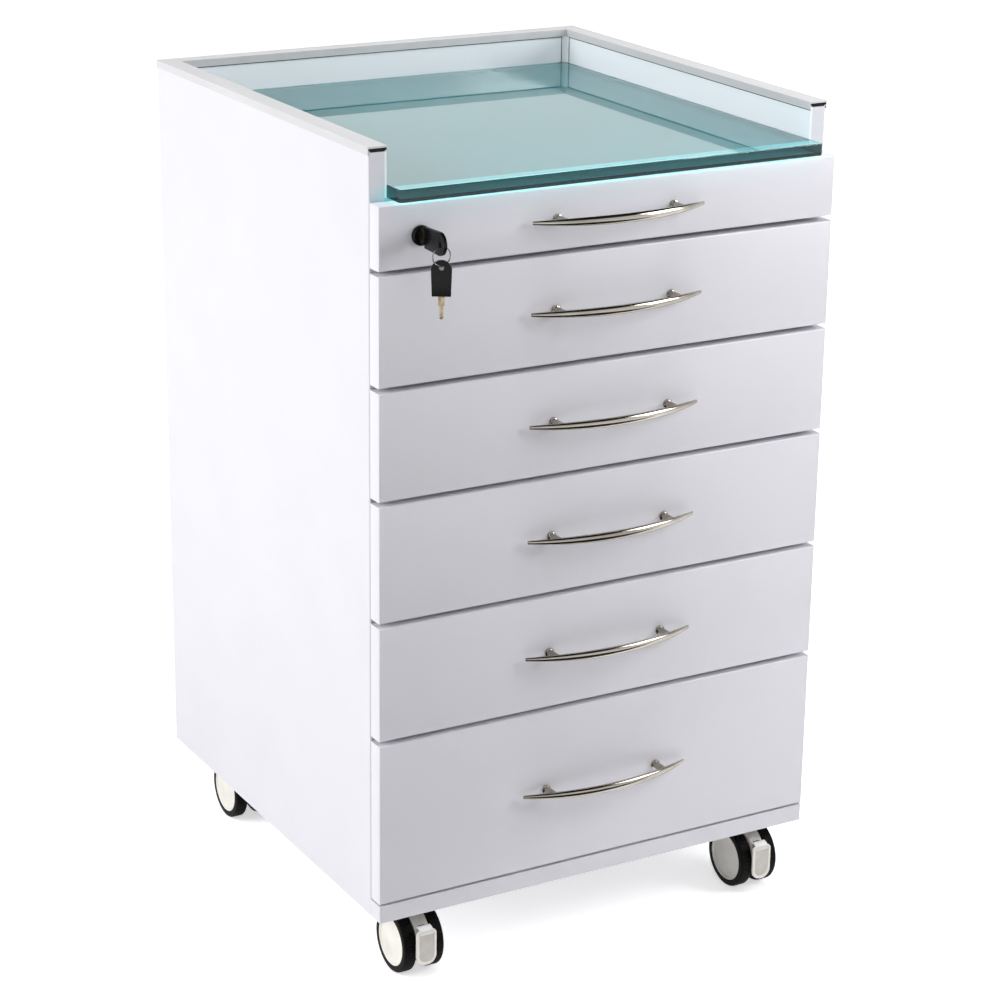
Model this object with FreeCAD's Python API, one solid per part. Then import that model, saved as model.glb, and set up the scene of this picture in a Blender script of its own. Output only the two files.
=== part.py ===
import FreeCAD
import Part

import math
import os

# Mobile dental cabinet: a board carcass on four twin-wheel swivel casters, with a
# glass worktop inside a low three-sided gallery and six drawers on telescopic slides.
# Millimetres. +X is to the viewer's right, +Y to the back, +Z up, and z = 0 is the floor.
# The origin is under the middle of the whole cabinet, handles and keys included.

# Carcass boards
cabinet_height = 839.0
cabinet_width = 500.0
carcass_depth = 484.0
side_thickness = 16.0
back_thickness = 16.0
top_thickness = 16.0
base_thickness = 18.0
edge_radius = 2.0

# Drawer fronts, listed from the bottom drawer up; they share the height between seams
front_shares = [168.0, 116.0, 116.0, 105.0, 105.0, 60.0]
front_thickness = 18.0
front_back_gap = 1.5
front_seam = 5.0
base_seam = 2.0

# Drawer boxes, listed from the bottom drawer up; each is this much lower than its front
box_drops = [28.0, 26.0, 26.0, 25.0, 25.0, 24.0]
box_back_gap = 24.5
box_sheet = 1.2
box_hem = 5.0
box_hem_drop = 5.0
box_back_flange = 10.0
box_lift = 6.0

# Worktop and gallery
worktop_seam = 2.5
glass_thickness = 12.0
glass_overhang = 5.0
glass_side_gap = 0.5
glass_arris = 1.2
glass_corner_radius = 3.0
gallery_rise = 36.0
lining_thickness = 2.0
cove_leg = 6.0
cap_web = 1.6
cap_hollow = 2.4
cap_shoulder = 1.2
cap_shoulder_width = 1.6
cap_grip = 2.4
cap_lip = 0.8
cap_clearance = 0.1

# Telescopic slides: section measured across the gap between board and drawer
slide_gap = 13.0
slide_height = 35.0
slide_back_gap = 24.0
slide_strip = 1.2
slide_setback = 4.0
slide_clearance = 0.3
race_depth = 2.6
slide_lift = 0.5
cabinet_rail_reach = 9.0
middle_rail_neck = 3.9

# Bow handles
handle_centres = 128.0
handle_length = 188.0
handle_reach = 31.0
handle_tip_reach = 4.7
handle_bar_height = 9.0
handle_bar_thickness = 6.0
handle_tip_height = 3.6
handle_tip_thickness = 2.6
handle_post_diameter = 7.5

# Cam lock on the top drawer, its strike and its keys
lock_from_edge = 42.5
lock_bezel_diameter = 19.0
lock_bezel_proud = 4.0
lock_barrel_diameter = 16.0
lock_plug_diameter = 10.0
lock_tail_width = 6.0
lock_tail = 14.0
lock_bore_clearance = 0.2
plug_clearance = 0.05
cam_width = 10.0
cam_thickness = 2.0
cam_reach = 24.0
cam_behind_barrel = 1.0
strike_thickness = 1.5
strike_border = 6.0
strike_clearance = 1.5
key_blade_width = 6.6
key_blade_thickness = 2.0
key_blade_length = 24.0
key_tip_width = 4.2
key_bite_depth = 0.9
key_bites = 3
key_point_length = 1.3
key_shoulder_length = 9.0
key_bow_length = 38.0
key_bow_width = 19.0
key_bow_thickness = 3.4
key_bow_foot_width = 17.5
key_bow_gap = 6.0
key_hole_diameter = 5.5
key_hole_from_end = 8.0
key_slot_clearance = 0.15
ring_outer_diameter = 19.0
ring_wire = 1.2
ring_hang_gap = 0.3

# Casters
wheel_diameter = 65.0
wheel_width = 13.5
hub_bore_depth = 9.0
axle_diameter = 6.0
housing_width = 16.0
wheel_side_gap = 0.5
caster_inset = 50.0
caster_end_inset = 41.0
caster_trail = 28.0
caster_head_room = 8.5
caster_plate_size = 46.0
caster_plate_thickness = 2.5
caster_plate_corner = 6.0
king_pin_diameter = 10.0
head_size = 30.0
head_corner = 8.0
head_thickness = 5.0
pin_clearance = 0.1
caster_clearance = 0.3
hood_radius = 33.5
hood_start_angle = 35.0
hood_end_angle = 190.0
neck_reach = 13.0
neck_root = 9.0
pedal_width = 19.0
pedal_edge = 2.4
pedal_crown = 1.0
pedal_length = 38.0
pedal_lug_width = 7.0
pedal_pin_diameter = 3.0
pedal_pivot_out = 22.0
pedal_pivot_up = 17.5
pedal_eye_radius = 3.7
pedal_top_rise = 1.5
pedal_back_gap = 2.0
pedal_flare = 6.0
pedal_slot_room = 1.0
pedal_slot_front = 1.0
pedal_swing_room = 5.0

# How near an edge's box must be to a plane to count as on it
edge_test = 0.01

# Positions that follow from the sizes above
half_width = cabinet_width / 2
half_inside = half_width - side_thickness
cap_overhang = cap_lip + cap_clearance
key_reach = lock_bezel_proud + key_bow_gap + key_bow_length
reach_in_front = max(key_reach, handle_reach)
whole_depth = (reach_in_front + front_thickness + front_back_gap + carcass_depth
               + cap_overhang)
front_face_y = -whole_depth / 2 + reach_in_front
carcass_front_y = front_face_y + front_thickness + front_back_gap
carcass_back_y = carcass_front_y + carcass_depth
inside_back_y = carcass_back_y - back_thickness
box_front_y = front_face_y + front_thickness
box_back_y = inside_back_y - box_back_gap
half_box = half_inside - slide_gap
slide_front_y = carcass_front_y + slide_setback
slide_back_y = inside_back_y - slide_back_gap

base_under_z = wheel_diameter + caster_head_room
base_top_z = base_under_z + base_thickness
gallery_top_z = cabinet_height
panel_top_z = gallery_top_z - cap_web - cap_hollow - cap_shoulder
glass_top_z = gallery_top_z - gallery_rise
top_board_top_z = glass_top_z - glass_thickness
top_board_under_z = top_board_top_z - top_thickness
fronts_bottom_z = base_top_z + base_seam
fronts_top_z = top_board_top_z - worktop_seam
front_room = fronts_top_z - fronts_bottom_z - front_seam * (len(front_shares) - 1)
front_heights = [front_room * share / sum(front_shares) for share in front_shares]
front_bottoms = [fronts_bottom_z + i * front_seam + sum(front_heights[:i])
                 for i in range(len(front_heights))]
box_heights = [height - drop for height, drop in zip(front_heights, box_drops)]

lock_x = -half_width + lock_from_edge
lock_z = front_bottoms[-1] + front_heights[-1] / 2
barrel_end_y = box_front_y + lock_tail
cam_y = barrel_end_y + cam_behind_barrel


def block(x0, x1, y0, y1, z0, z1):
    """Box between two corners."""
    return Part.makeBox(x1 - x0, y1 - y0, z1 - z0, FreeCAD.Vector(x0, y0, z0))


def cylinder(radius, start, end):
    """Round bar between two points."""
    along = end.sub(start)
    return Part.makeCylinder(radius, along.Length, start, along)


def outline(points):
    """Closed flat face through the given points."""
    return Part.Face(Part.makePolygon(points + [points[0]]))


def across_y(points, y0, y1):
    """Prism along Y of an outline given as (x, z)."""
    flat = outline([FreeCAD.Vector(x, y0, z) for x, z in points])
    return flat.extrude(FreeCAD.Vector(0, y1 - y0, 0))


def folded_strip(path, thickness):
    """Outline of a folded strip whose middle line is the path of (across, up) points."""
    sides = []
    for sign in (1, -1):
        line = []
        for i, point in enumerate(path):
            normals = []
            for a, b in ((i - 1, i), (i, i + 1)):
                if a >= 0 and b < len(path):
                    dx, dz = path[b][0] - path[a][0], path[b][1] - path[a][1]
                    length = math.hypot(dx, dz)
                    normals.append((-dz / length, dx / length))
            nx = sum(n[0] for n in normals)
            nz = sum(n[1] for n in normals)
            scale = sign * thickness / 2
            line.append((point[0] + nx * scale, point[1] + nz * scale))
        sides.append(line)
    return sides[0] + sides[1][::-1]


def mirrored_x(shape):
    """The other hand of a piece."""
    return shape.mirror(FreeCAD.Vector(0, 0, 0), FreeCAD.Vector(1, 0, 0))


def round_edges(shape, radius, chosen):
    """Fillet the straight edges that the test picks."""
    edges = [edge for edge in shape.Edges if chosen(edge.BoundBox)]
    return shape.makeFillet(radius, edges)


def save(name, *solids):
    """Write one sub-part, with its separate solids side by side."""
    shape = solids[0] if len(solids) == 1 else Part.makeCompound(list(solids))
    if not shape.isValid():
        raise ValueError(name + " is not a valid shape")
    shape.exportStep("parts/" + name + ".step")
    print(name, len(shape.Solids), "solid(s)", round(shape.Volume / 1000, 2), "cm3")


# Carcass

def side_panel():
    """Left side board, full height, with a softened outer front edge."""
    board = block(-half_width, -half_inside, carcass_front_y, carcass_back_y,
                  base_under_z, panel_top_z)
    return round_edges(board, edge_radius, lambda b: b.YMax < carcass_front_y + edge_test
                       and b.XMax < -half_width + edge_test)


def back_panel():
    """Back board between the sides, rising with them to carry the gallery."""
    return block(-half_inside, half_inside, inside_back_y, carcass_back_y,
                 base_under_z, panel_top_z)


def base_panel():
    """Base board, notched round the sides so that its nose lies under the fronts."""
    corners = [(-half_width, front_face_y), (half_width, front_face_y),
               (half_width, carcass_front_y), (half_inside, carcass_front_y),
               (half_inside, inside_back_y), (-half_inside, inside_back_y),
               (-half_inside, carcass_front_y), (-half_width, carcass_front_y)]
    flat = outline([FreeCAD.Vector(x, y, base_under_z) for x, y in corners])
    board = flat.extrude(FreeCAD.Vector(0, 0, base_thickness))
    return round_edges(board, edge_radius, lambda b: b.YMax < front_face_y + edge_test
                       and b.ZLength > base_thickness / 2)


def top_panel():
    """Board between the sides under the glass, with the pocket for the lock's cam."""
    board = block(-half_inside, half_inside, carcass_front_y, inside_back_y,
                  top_board_under_z, top_board_top_z)
    x0, x1, y0, y1 = strike_slot()
    depth = lock_z + cam_reach + strike_clearance - top_board_under_z
    pocket = block(x0, x1, y0, y1, top_board_under_z, top_board_under_z + depth)
    return board.cut(pocket)


def strike_slot():
    """Slot that the cam's tip sweeps through as it turns up, in plan."""
    above_axis = top_board_under_z - strike_thickness - lock_z
    sweep = math.sqrt(cam_reach ** 2 - above_axis ** 2)
    return (lock_x - cam_width / 2 - strike_clearance, lock_x + sweep + strike_clearance,
            cam_y - strike_clearance, cam_y + cam_thickness + strike_clearance)


def strike_plate():
    """Steel plate under the top board with the slot that the cam locks into."""
    x0, x1, y0, y1 = strike_slot()
    plate = block(x0 - strike_border, x1 + strike_border,
                  y0 - strike_border, y1 + strike_border,
                  top_board_under_z - strike_thickness, top_board_under_z)
    slot = block(x0, x1, y0, y1, top_board_under_z - strike_thickness, top_board_under_z)
    return plate.cut(slot)


# Worktop and gallery

def glass_top():
    """Glass slab inside the lining, with rounded corners and ground arrises in front."""
    half = half_inside - lining_thickness - glass_side_gap
    front = front_face_y - glass_overhang
    back = inside_back_y - lining_thickness - glass_side_gap
    slab = block(-half, half, front, back, top_board_top_z, glass_top_z)
    slab = round_edges(slab, glass_corner_radius, lambda b: b.ZLength > glass_thickness / 2
                       and b.YMax < front + edge_test)
    slab = round_edges(slab, cove_leg - glass_side_gap,
                       lambda b: b.ZLength > glass_thickness / 2
                       and b.YMin > back - edge_test)
    rim = [edge for edge in slab.Edges if edge.BoundBox.ZLength < edge_test
           and edge.BoundBox.YMin < front + glass_corner_radius]
    return slab.makeChamfer(glass_arris, rim)


def gallery_lining():
    """Thin lining strips round the glass, with a cove in each back corner."""
    z0, z1 = top_board_top_z, panel_top_z
    left = block(-half_inside, -half_inside + lining_thickness,
                 carcass_front_y, inside_back_y, z0, z1)
    back = block(-half_inside + lining_thickness, half_inside - lining_thickness,
                 inside_back_y - lining_thickness, inside_back_y, z0, z1)
    cove = corner_cove(z0, z1 - cap_grip - cap_clearance)
    return left, mirrored_x(left), back, cove, mirrored_x(cove)


def corner_cove(z0, z1):
    """Concave upright trim in the left back corner of the gallery."""
    x = -half_inside + lining_thickness
    y = inside_back_y - lining_thickness
    corner = FreeCAD.Vector(x, y, z0)
    tip_a = FreeCAD.Vector(x + cove_leg, y, z0)
    tip_b = FreeCAD.Vector(x, y - cove_leg, z0)
    bend = cove_leg * (1 - math.sqrt(0.5))
    middle = FreeCAD.Vector(x + bend, y - bend, z0)
    wire = Part.Wire([Part.LineSegment(corner, tip_a).toShape(),
                      Part.Arc(tip_a, middle, tip_b).toShape(),
                      Part.LineSegment(tip_b, corner).toShape()])
    return Part.Face(wire).extrude(FreeCAD.Vector(0, 0, z1 - z0))


def cap_section():
    """Half-hollow cap section as (across, up), seen along the board it sits on."""
    outer = -cap_overhang
    inner = side_thickness + lining_thickness + cap_overhang
    left_wall = outer + cap_lip
    right_wall = inner - cap_lip
    top = gallery_top_z
    seat = panel_top_z
    ledge = seat + cap_shoulder
    ceiling = top - cap_web
    low = seat - cap_grip
    return [(outer, low), (left_wall, low), (left_wall, seat),
            (left_wall + cap_shoulder_width, seat), (left_wall + cap_shoulder_width, ledge),
            (left_wall, ledge), (left_wall, ceiling), (right_wall, ceiling),
            (right_wall, ledge), (right_wall - cap_shoulder_width, ledge),
            (right_wall - cap_shoulder_width, seat), (right_wall, seat),
            (right_wall, low), (inner, low), (inner, top), (outer, top)]


def cap_along(start, end, zone):
    """Cap over the outer line from start to end, trimmed to the zone seen from above."""
    along = end.sub(start).normalize()
    inward = FreeCAD.Vector(-along.y, along.x, 0)
    section = cap_section()
    reach = section[-2][0] - section[-1][0]
    face = outline([start - along * reach + inward * u + FreeCAD.Vector(0, 0, w)
                    for u, w in section])
    run = face.extrude(along * (end.sub(start).Length + 2 * reach))
    low = section[0][1]
    keep = outline([FreeCAD.Vector(x, y, low) for x, y in zone])
    return run.common(keep.extrude(FreeCAD.Vector(0, 0, gallery_top_z - low)))


def gallery_caps():
    """Three cap profiles round the gallery, mitred at the two back corners."""
    section = cap_section()
    outer = half_width - section[0][0]
    far_y = carcass_back_y - section[0][0]
    wide = section[-2][0] - section[-1][0]
    left_zone = [(-outer, far_y), (-outer, carcass_front_y),
                 (-outer + wide, carcass_front_y), (-outer + wide, far_y - wide)]
    back_zone = [(-outer, far_y), (-outer + wide, far_y - wide),
                 (outer - wide, far_y - wide), (outer, far_y)]
    back_left = FreeCAD.Vector(-half_width, carcass_back_y, 0)
    back_right = FreeCAD.Vector(half_width, carcass_back_y, 0)
    front_left = FreeCAD.Vector(-half_width, carcass_front_y, 0)
    left = cap_along(back_left, front_left, left_zone)
    back = cap_along(back_right, back_left, back_zone)
    return left, mirrored_x(left), back


# Drawers

def drawer_front(index):
    """Overlay front with softened edges; the top one is bored for the lock."""
    z0 = front_bottoms[index]
    z1 = z0 + front_heights[index]
    board = block(-half_width, half_width, front_face_y, box_front_y, z0, z1)
    board = round_edges(board, edge_radius, lambda b: b.YMax < front_face_y + edge_test)
    if index == len(front_heights) - 1:
        board = board.cut(lock_bore())
    return board


def lock_bore():
    """Hole for the lock's barrel through the front."""
    radius = (lock_barrel_diameter + lock_bore_clearance) / 2
    return cylinder(radius, FreeCAD.Vector(lock_x, front_face_y, lock_z),
                    FreeCAD.Vector(lock_x, box_front_y, lock_z))


def drawer_box(index):
    """Steel tray folded from one sheet with hemmed sides, and its flanged back."""
    z0 = front_bottoms[index] + box_lift
    half = box_sheet / 2
    side = half_box - half
    lip = half_box - box_hem + half
    low = z0 + half
    high = z0 + box_heights[index] - half
    down = high + half - box_hem_drop
    section = folded_strip([(-lip, down), (-lip, high), (-side, high), (-side, low),
                            (side, low), (side, high), (lip, high), (lip, down)],
                           box_sheet)
    tray = across_y(section, box_front_y, box_back_y)
    flange = folded_strip([(box_back_y - half, low + half),
                           (box_back_y - half, down - half),
                           (box_back_y - box_back_flange, down - half)], box_sheet)
    inner = half_box - box_sheet
    back = outline([FreeCAD.Vector(-inner, y, z) for y, z in flange])
    return tray, back.extrude(FreeCAD.Vector(2 * inner, 0, 0))


# Slides

def rail_paths():
    """Middle lines of the three nested sections, as (from cabinet side, from centre)."""
    half = slide_strip / 2
    step = slide_strip + slide_clearance
    # cabinet rail: web on the board, two flanges, two lips
    web_0 = half
    flange_0 = slide_height / 2 - half
    lip_0 = cabinet_rail_reach - half
    lip_end_0 = flange_0 - race_depth - half
    # middle rail: runs behind those lips, then narrows to pass between them
    web_1 = web_0 + step
    flange_1 = flange_0 - step
    turn_1 = lip_0 - step
    neck_1 = lip_end_0 - half - 2 * slide_clearance
    lip_1 = turn_1 + middle_rail_neck + slide_clearance
    lip_end_1 = neck_1 - race_depth
    # drawer rail: runs inside the middle one, with its web on the drawer
    web_2 = slide_gap - half
    flange_2 = neck_1 - step
    turn_2 = lip_1 - step
    neck_2 = lip_end_1 - half - 2 * slide_clearance
    cabinet = [(lip_0, lip_end_0), (lip_0, flange_0), (web_0, flange_0)]
    middle = [(lip_1, lip_end_1), (lip_1, neck_1), (turn_1, neck_1),
              (turn_1, flange_1), (web_1, flange_1)]
    drawer = [(web_1 + 2 * step, flange_2), (turn_2, flange_2), (turn_2, neck_2),
              (web_2, neck_2)]
    return [half_path + [(x, -z) for x, z in half_path[::-1]]
            for half_path in (cabinet, middle, drawer)]


def rail(kind, index):
    """Left-hand rail of one slide: kind 0 on the cabinet, 1 between, 2 on the drawer."""
    centre_z = front_bottoms[index] + box_lift + slide_lift + slide_height / 2
    section = folded_strip(rail_paths()[kind], slide_strip)
    return across_y([(-half_inside + x, centre_z + z) for x, z in section],
                    slide_front_y, slide_back_y)


# Handles

def between_arcs(at, half, ends, middles):
    """Face between two arcs; at(x, offset) places a point at -half, 0 or half."""
    low, high = ends
    low_middle, high_middle = middles
    return Part.Face(Part.Wire([
        Part.Arc(at(-half, low), at(0, low_middle), at(half, low)).toShape(),
        Part.LineSegment(at(half, low), at(half, high)).toShape(),
        Part.Arc(at(half, high), at(0, high_middle), at(-half, high)).toShape(),
        Part.LineSegment(at(-half, high), at(-half, low)).toShape()]))


def handle(index):
    """Bow bar on two round posts: a bent strip cut to its tapering front outline."""
    centre_z = front_bottoms[index] + front_heights[index] / 2
    half = handle_length / 2
    tall = handle_bar_height / 2
    tip = handle_tip_height / 2

    def from_above(x, out):
        return FreeCAD.Vector(x, front_face_y - out, centre_z - tall)

    def from_front(x, up):
        return FreeCAD.Vector(x, front_face_y - handle_reach, centre_z + up)

    strip = between_arcs(from_above, half,
                         (handle_tip_reach, handle_tip_reach + handle_tip_thickness),
                         (handle_reach - handle_bar_thickness, handle_reach))
    strip = strip.extrude(FreeCAD.Vector(0, 0, handle_bar_height))
    front = between_arcs(from_front, half, (-tip, tip), (-tall, tall))
    bar = strip.common(front.extrude(FreeCAD.Vector(0, handle_reach, 0)))

    rise = handle_reach - handle_bar_thickness - handle_tip_reach
    bow_radius = (half ** 2 + rise ** 2) / (2 * rise)
    post_x = handle_centres / 2
    drop = bow_radius - math.sqrt(bow_radius ** 2 - post_x ** 2)
    reach = handle_reach - handle_bar_thickness / 2 - drop
    for x in (-post_x, post_x):
        root = FreeCAD.Vector(x, front_face_y, centre_z)
        post = Part.makeCylinder(handle_post_diameter / 2, reach, root,
                                 FreeCAD.Vector(0, -1, 0))
        bar = bar.fuse(post)
    return bar


# Lock and keys

def revolved_y(points, x, z):
    """Solid of (radius, y) points turned about the axis through x and z along Y."""
    flat = outline([FreeCAD.Vector(x + r, y, z) for r, y in points])
    return flat.revolve(FreeCAD.Vector(x, 0, z), FreeCAD.Vector(0, 1, 0), 360)


def lock_housing():
    """Bezel on a round barrel that goes through the front, bored for the plug."""
    bezel = lock_bezel_diameter / 2
    barrel = lock_barrel_diameter / 2
    bore = lock_plug_diameter / 2 + plug_clearance
    face = front_face_y - lock_bezel_proud
    return revolved_y([(bore, face), (bezel, face), (bezel, front_face_y),
                       (barrel, front_face_y), (barrel, barrel_end_y),
                       (bore, barrel_end_y)], lock_x, lock_z)


def key_slot():
    """Keyway through the face of the plug."""
    wide = key_blade_thickness / 2 + key_slot_clearance
    tall = key_blade_width / 2 + key_slot_clearance
    face = front_face_y - lock_bezel_proud
    depth = key_blade_length - key_bow_gap + key_slot_clearance
    return block(lock_x - wide, lock_x + wide, face, face + depth,
                 lock_z - tall, lock_z + tall)


def lock_tail_prism():
    """Square end of the plug that carries the cam."""
    half = lock_tail_width / 2
    return block(lock_x - half, lock_x + half, cam_y, cam_y + cam_thickness,
                 lock_z - half, lock_z + half)


def lock_plug():
    """Plug with its keyway and square tail, and the cam on the tail."""
    face = front_face_y - lock_bezel_proud
    barrel = cylinder(lock_plug_diameter / 2, FreeCAD.Vector(lock_x, face, lock_z),
                      FreeCAD.Vector(lock_x, cam_y, lock_z))
    plug = barrel.fuse(lock_tail_prism()).cut(key_slot())
    return plug, cam_plate()


def cam_plate():
    """Flat cam with a round eye and a square hole, pointing to the right."""
    radius = cam_width / 2

    def at(right, up):
        return FreeCAD.Vector(lock_x + right, cam_y, lock_z + up)

    arm = Part.Face(Part.Wire([
        Part.makePolygon([at(0, -radius), at(cam_reach, -radius),
                          at(cam_reach, radius), at(0, radius)]),
        Part.Arc(at(0, radius), at(-radius, 0), at(0, -radius)).toShape()]))
    return arm.extrude(FreeCAD.Vector(0, cam_thickness, 0)).cut(lock_tail_prism())


def bow_outline():
    """Key bow: flat foot at 0, straight flanks and a rounded end, as (along, across)."""
    half = key_bow_width / 2
    end = FreeCAD.Vector(key_bow_length, 0, 0)
    shoulder = key_bow_length - half
    upper = FreeCAD.Vector(shoulder, half, 0)
    lower = FreeCAD.Vector(shoulder, -half, 0)
    foot_up = FreeCAD.Vector(0, key_bow_foot_width / 2, 0)
    foot_low = FreeCAD.Vector(0, -key_bow_foot_width / 2, 0)
    return Part.Wire([Part.LineSegment(foot_low, lower).toShape(),
                      Part.Arc(lower, end, upper).toShape(),
                      Part.LineSegment(upper, foot_up).toShape(),
                      Part.LineSegment(foot_up, foot_low).toShape()])


def key_flat():
    """Key lying flat: the bow runs to +X from 0, the blade to -X, thickness along Z."""
    thick = FreeCAD.Vector(0, 0, key_bow_thickness)
    bow = Part.Face(bow_outline()).extrude(thick)
    bow.translate(FreeCAD.Vector(0, 0, -key_bow_thickness / 2))
    hole = Part.makeCylinder(key_hole_diameter / 2, key_bow_thickness,
                             FreeCAD.Vector(key_bow_length - key_hole_from_end, 0,
                                            -key_bow_thickness / 2))
    bow = bow.cut(hole)
    half = key_blade_width / 2
    tip = key_tip_width / 2
    neck = -key_shoulder_length
    end = -key_blade_length
    step = half - tip
    pitch = (key_blade_length - key_shoulder_length - step) / (key_bites + 1)
    points = [(0, -half), (0, half), (neck, half), (neck - step, tip)]
    for i in range(key_bites):
        x = neck - step - pitch * (i + 1 / 2)
        points += [(x + pitch / 4, tip), (x, tip - key_bite_depth), (x - pitch / 4, tip)]
    points += [(end + key_point_length, tip), (end, 0), (end + key_point_length, -tip),
               (neck - step, -tip), (neck, -half)]
    flat = outline([FreeCAD.Vector(x, y, -key_blade_thickness / 2) for x, y in points])
    blade = flat.extrude(FreeCAD.Vector(0, 0, key_blade_thickness))
    return bow.fuse(blade)


def key_hole_y():
    """Depth at which the hole of the key in the lock lies."""
    foot = front_face_y - lock_bezel_proud - key_bow_gap
    return foot - key_bow_length + key_hole_from_end


def ring_centre_z():
    """Height of the ring's centre, its wire resting in the key's hole."""
    wire_top = lock_z - key_hole_diameter / 2 + ring_hang_gap + ring_wire
    return wire_top - ring_outer_diameter / 2


def key_in_lock():
    """Key in the plug with its bow upright."""
    key = key_flat()
    key.rotate(FreeCAD.Vector(0, 0, 0), FreeCAD.Vector(1, 0, 0), 90)
    key.rotate(FreeCAD.Vector(0, 0, 0), FreeCAD.Vector(0, 0, 1), -90)
    foot = front_face_y - lock_bezel_proud - key_bow_gap
    key.translate(FreeCAD.Vector(lock_x, foot, lock_z))
    return key


def key_ring():
    """Flat-wire ring hanging in the key's hole."""
    outer = ring_outer_diameter / 2
    inner = outer - ring_wire
    y0 = key_hole_y() - ring_wire / 2
    y1 = key_hole_y() + ring_wire / 2
    return revolved_y([(inner, y0), (outer, y0), (outer, y1), (inner, y1)],
                      lock_x, ring_centre_z())


# Casters

def caster_axes():
    """Name and swivel axis of each caster."""
    front = carcass_front_y + caster_end_inset
    back = carcass_back_y - caster_end_inset
    side = half_width - caster_inset
    return [("front_left", -side, front), ("front_right", side, front),
            ("back_left", -side, back), ("back_right", side, back)]


def caster_plate(x, y):
    """Screwed top plate with the king pin that the caster swivels on."""
    half = caster_plate_size / 2
    z0 = base_under_z - caster_plate_thickness
    plate = block(x - half, x + half, y - half, y + half, z0, base_under_z)
    corners = [edge for edge in plate.Edges
               if edge.BoundBox.ZLength > caster_plate_thickness / 2]
    plate = plate.makeChamfer(caster_plate_corner, corners)
    pin = cylinder(king_pin_diameter / 2,
                   FreeCAD.Vector(x, y, z0 - head_thickness),
                   FreeCAD.Vector(x, y, z0))
    return plate.fuse(pin)


def caster_housing(x, y, braked):
    """Hooded web between the wheels under its swivel head, with its fixed axle."""
    axle_y = y - caster_trail
    axle_z = wheel_diameter / 2
    half = housing_width / 2
    head_top = base_under_z - caster_plate_thickness - caster_clearance
    head_under = head_top - head_thickness

    def at(radius, angle):
        turn = math.radians(angle)
        return FreeCAD.Vector(x - half, axle_y + radius * math.cos(turn),
                              axle_z + radius * math.sin(turn))

    middle = (hood_start_angle + hood_end_angle) / 2
    wide = FreeCAD.Vector(housing_width, 0, 0)
    hood = Part.Face(Part.Wire([
        Part.Arc(at(hood_radius, hood_start_angle), at(hood_radius, middle),
                 at(hood_radius, hood_end_angle)).toShape(),
        Part.makePolygon([at(hood_radius, hood_end_angle), at(0, 0),
                          at(hood_radius, hood_start_angle)])])).extrude(wide)
    neck = outline([at(neck_root, 180), at(neck_root, -90), at(neck_root, 0),
                    FreeCAD.Vector(x - half, y + neck_reach, head_under),
                    FreeCAD.Vector(x - half, y - neck_reach, head_under)]).extrude(wide)
    side = head_size / 2
    head = block(x - side, x + side, y - side, y + side, head_under, head_top)
    head = head.makeChamfer(head_corner, [edge for edge in head.Edges
                                          if edge.BoundBox.ZLength > head_thickness / 2])
    socket = Part.makeCylinder(king_pin_diameter / 2 + pin_clearance,
                               head_thickness,
                               FreeCAD.Vector(x, y, head_under))
    reach = half + wheel_side_gap + hub_bore_depth - caster_clearance
    axle = cylinder(axle_diameter / 2, FreeCAD.Vector(x - reach, axle_y, axle_z),
                    FreeCAD.Vector(x + reach, axle_y, axle_z))
    body = hood.fuse([neck, head]).removeSplitter().fuse(axle).cut(socket)
    if braked:
        slot = pedal_slot(x, axle_y, axle_z)
        body = body.cut(slot).fuse(pedal_pin(x, axle_y))
    return body


def wheel(x, axle_y, side):
    """Tread and hub of one wheel, closed outside; side is -1 left, 1 right."""
    radius = wheel_diameter / 2
    bore = axle_diameter / 2 + pin_clearance
    near = housing_width / 2 + wheel_side_gap
    far = near + wheel_width
    bore_end = near + hub_bore_depth
    profile = [(near, bore), (near, radius), (far, radius), (far, 0), (bore_end, 0),
               (bore_end, bore)]
    flat = outline([FreeCAD.Vector(x + side * u, axle_y, radius + r) for u, r in profile])
    return flat.revolve(FreeCAD.Vector(x, axle_y, radius), FreeCAD.Vector(side, 0, 0), 360)


def pedal_pivot(axle_y, axle_z):
    """Where the brake pedal's pin crosses the front of the hood, as (y, z)."""
    return axle_y - pedal_pivot_out, axle_z + pedal_pivot_up


def pedal_slot(x, axle_y, axle_z):
    """Slot in the hood for the pedal's lug, open in front and above for its swing."""
    pivot_y, pivot_z = pedal_pivot(axle_y, axle_z)
    wide = pedal_lug_width / 2 + caster_clearance
    room = pedal_eye_radius + pedal_slot_room
    return block(x - wide, x + wide, axle_y - hood_radius - pedal_slot_front, pivot_y + room,
                 pivot_z - room, pivot_z + room + pedal_swing_room)


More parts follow.
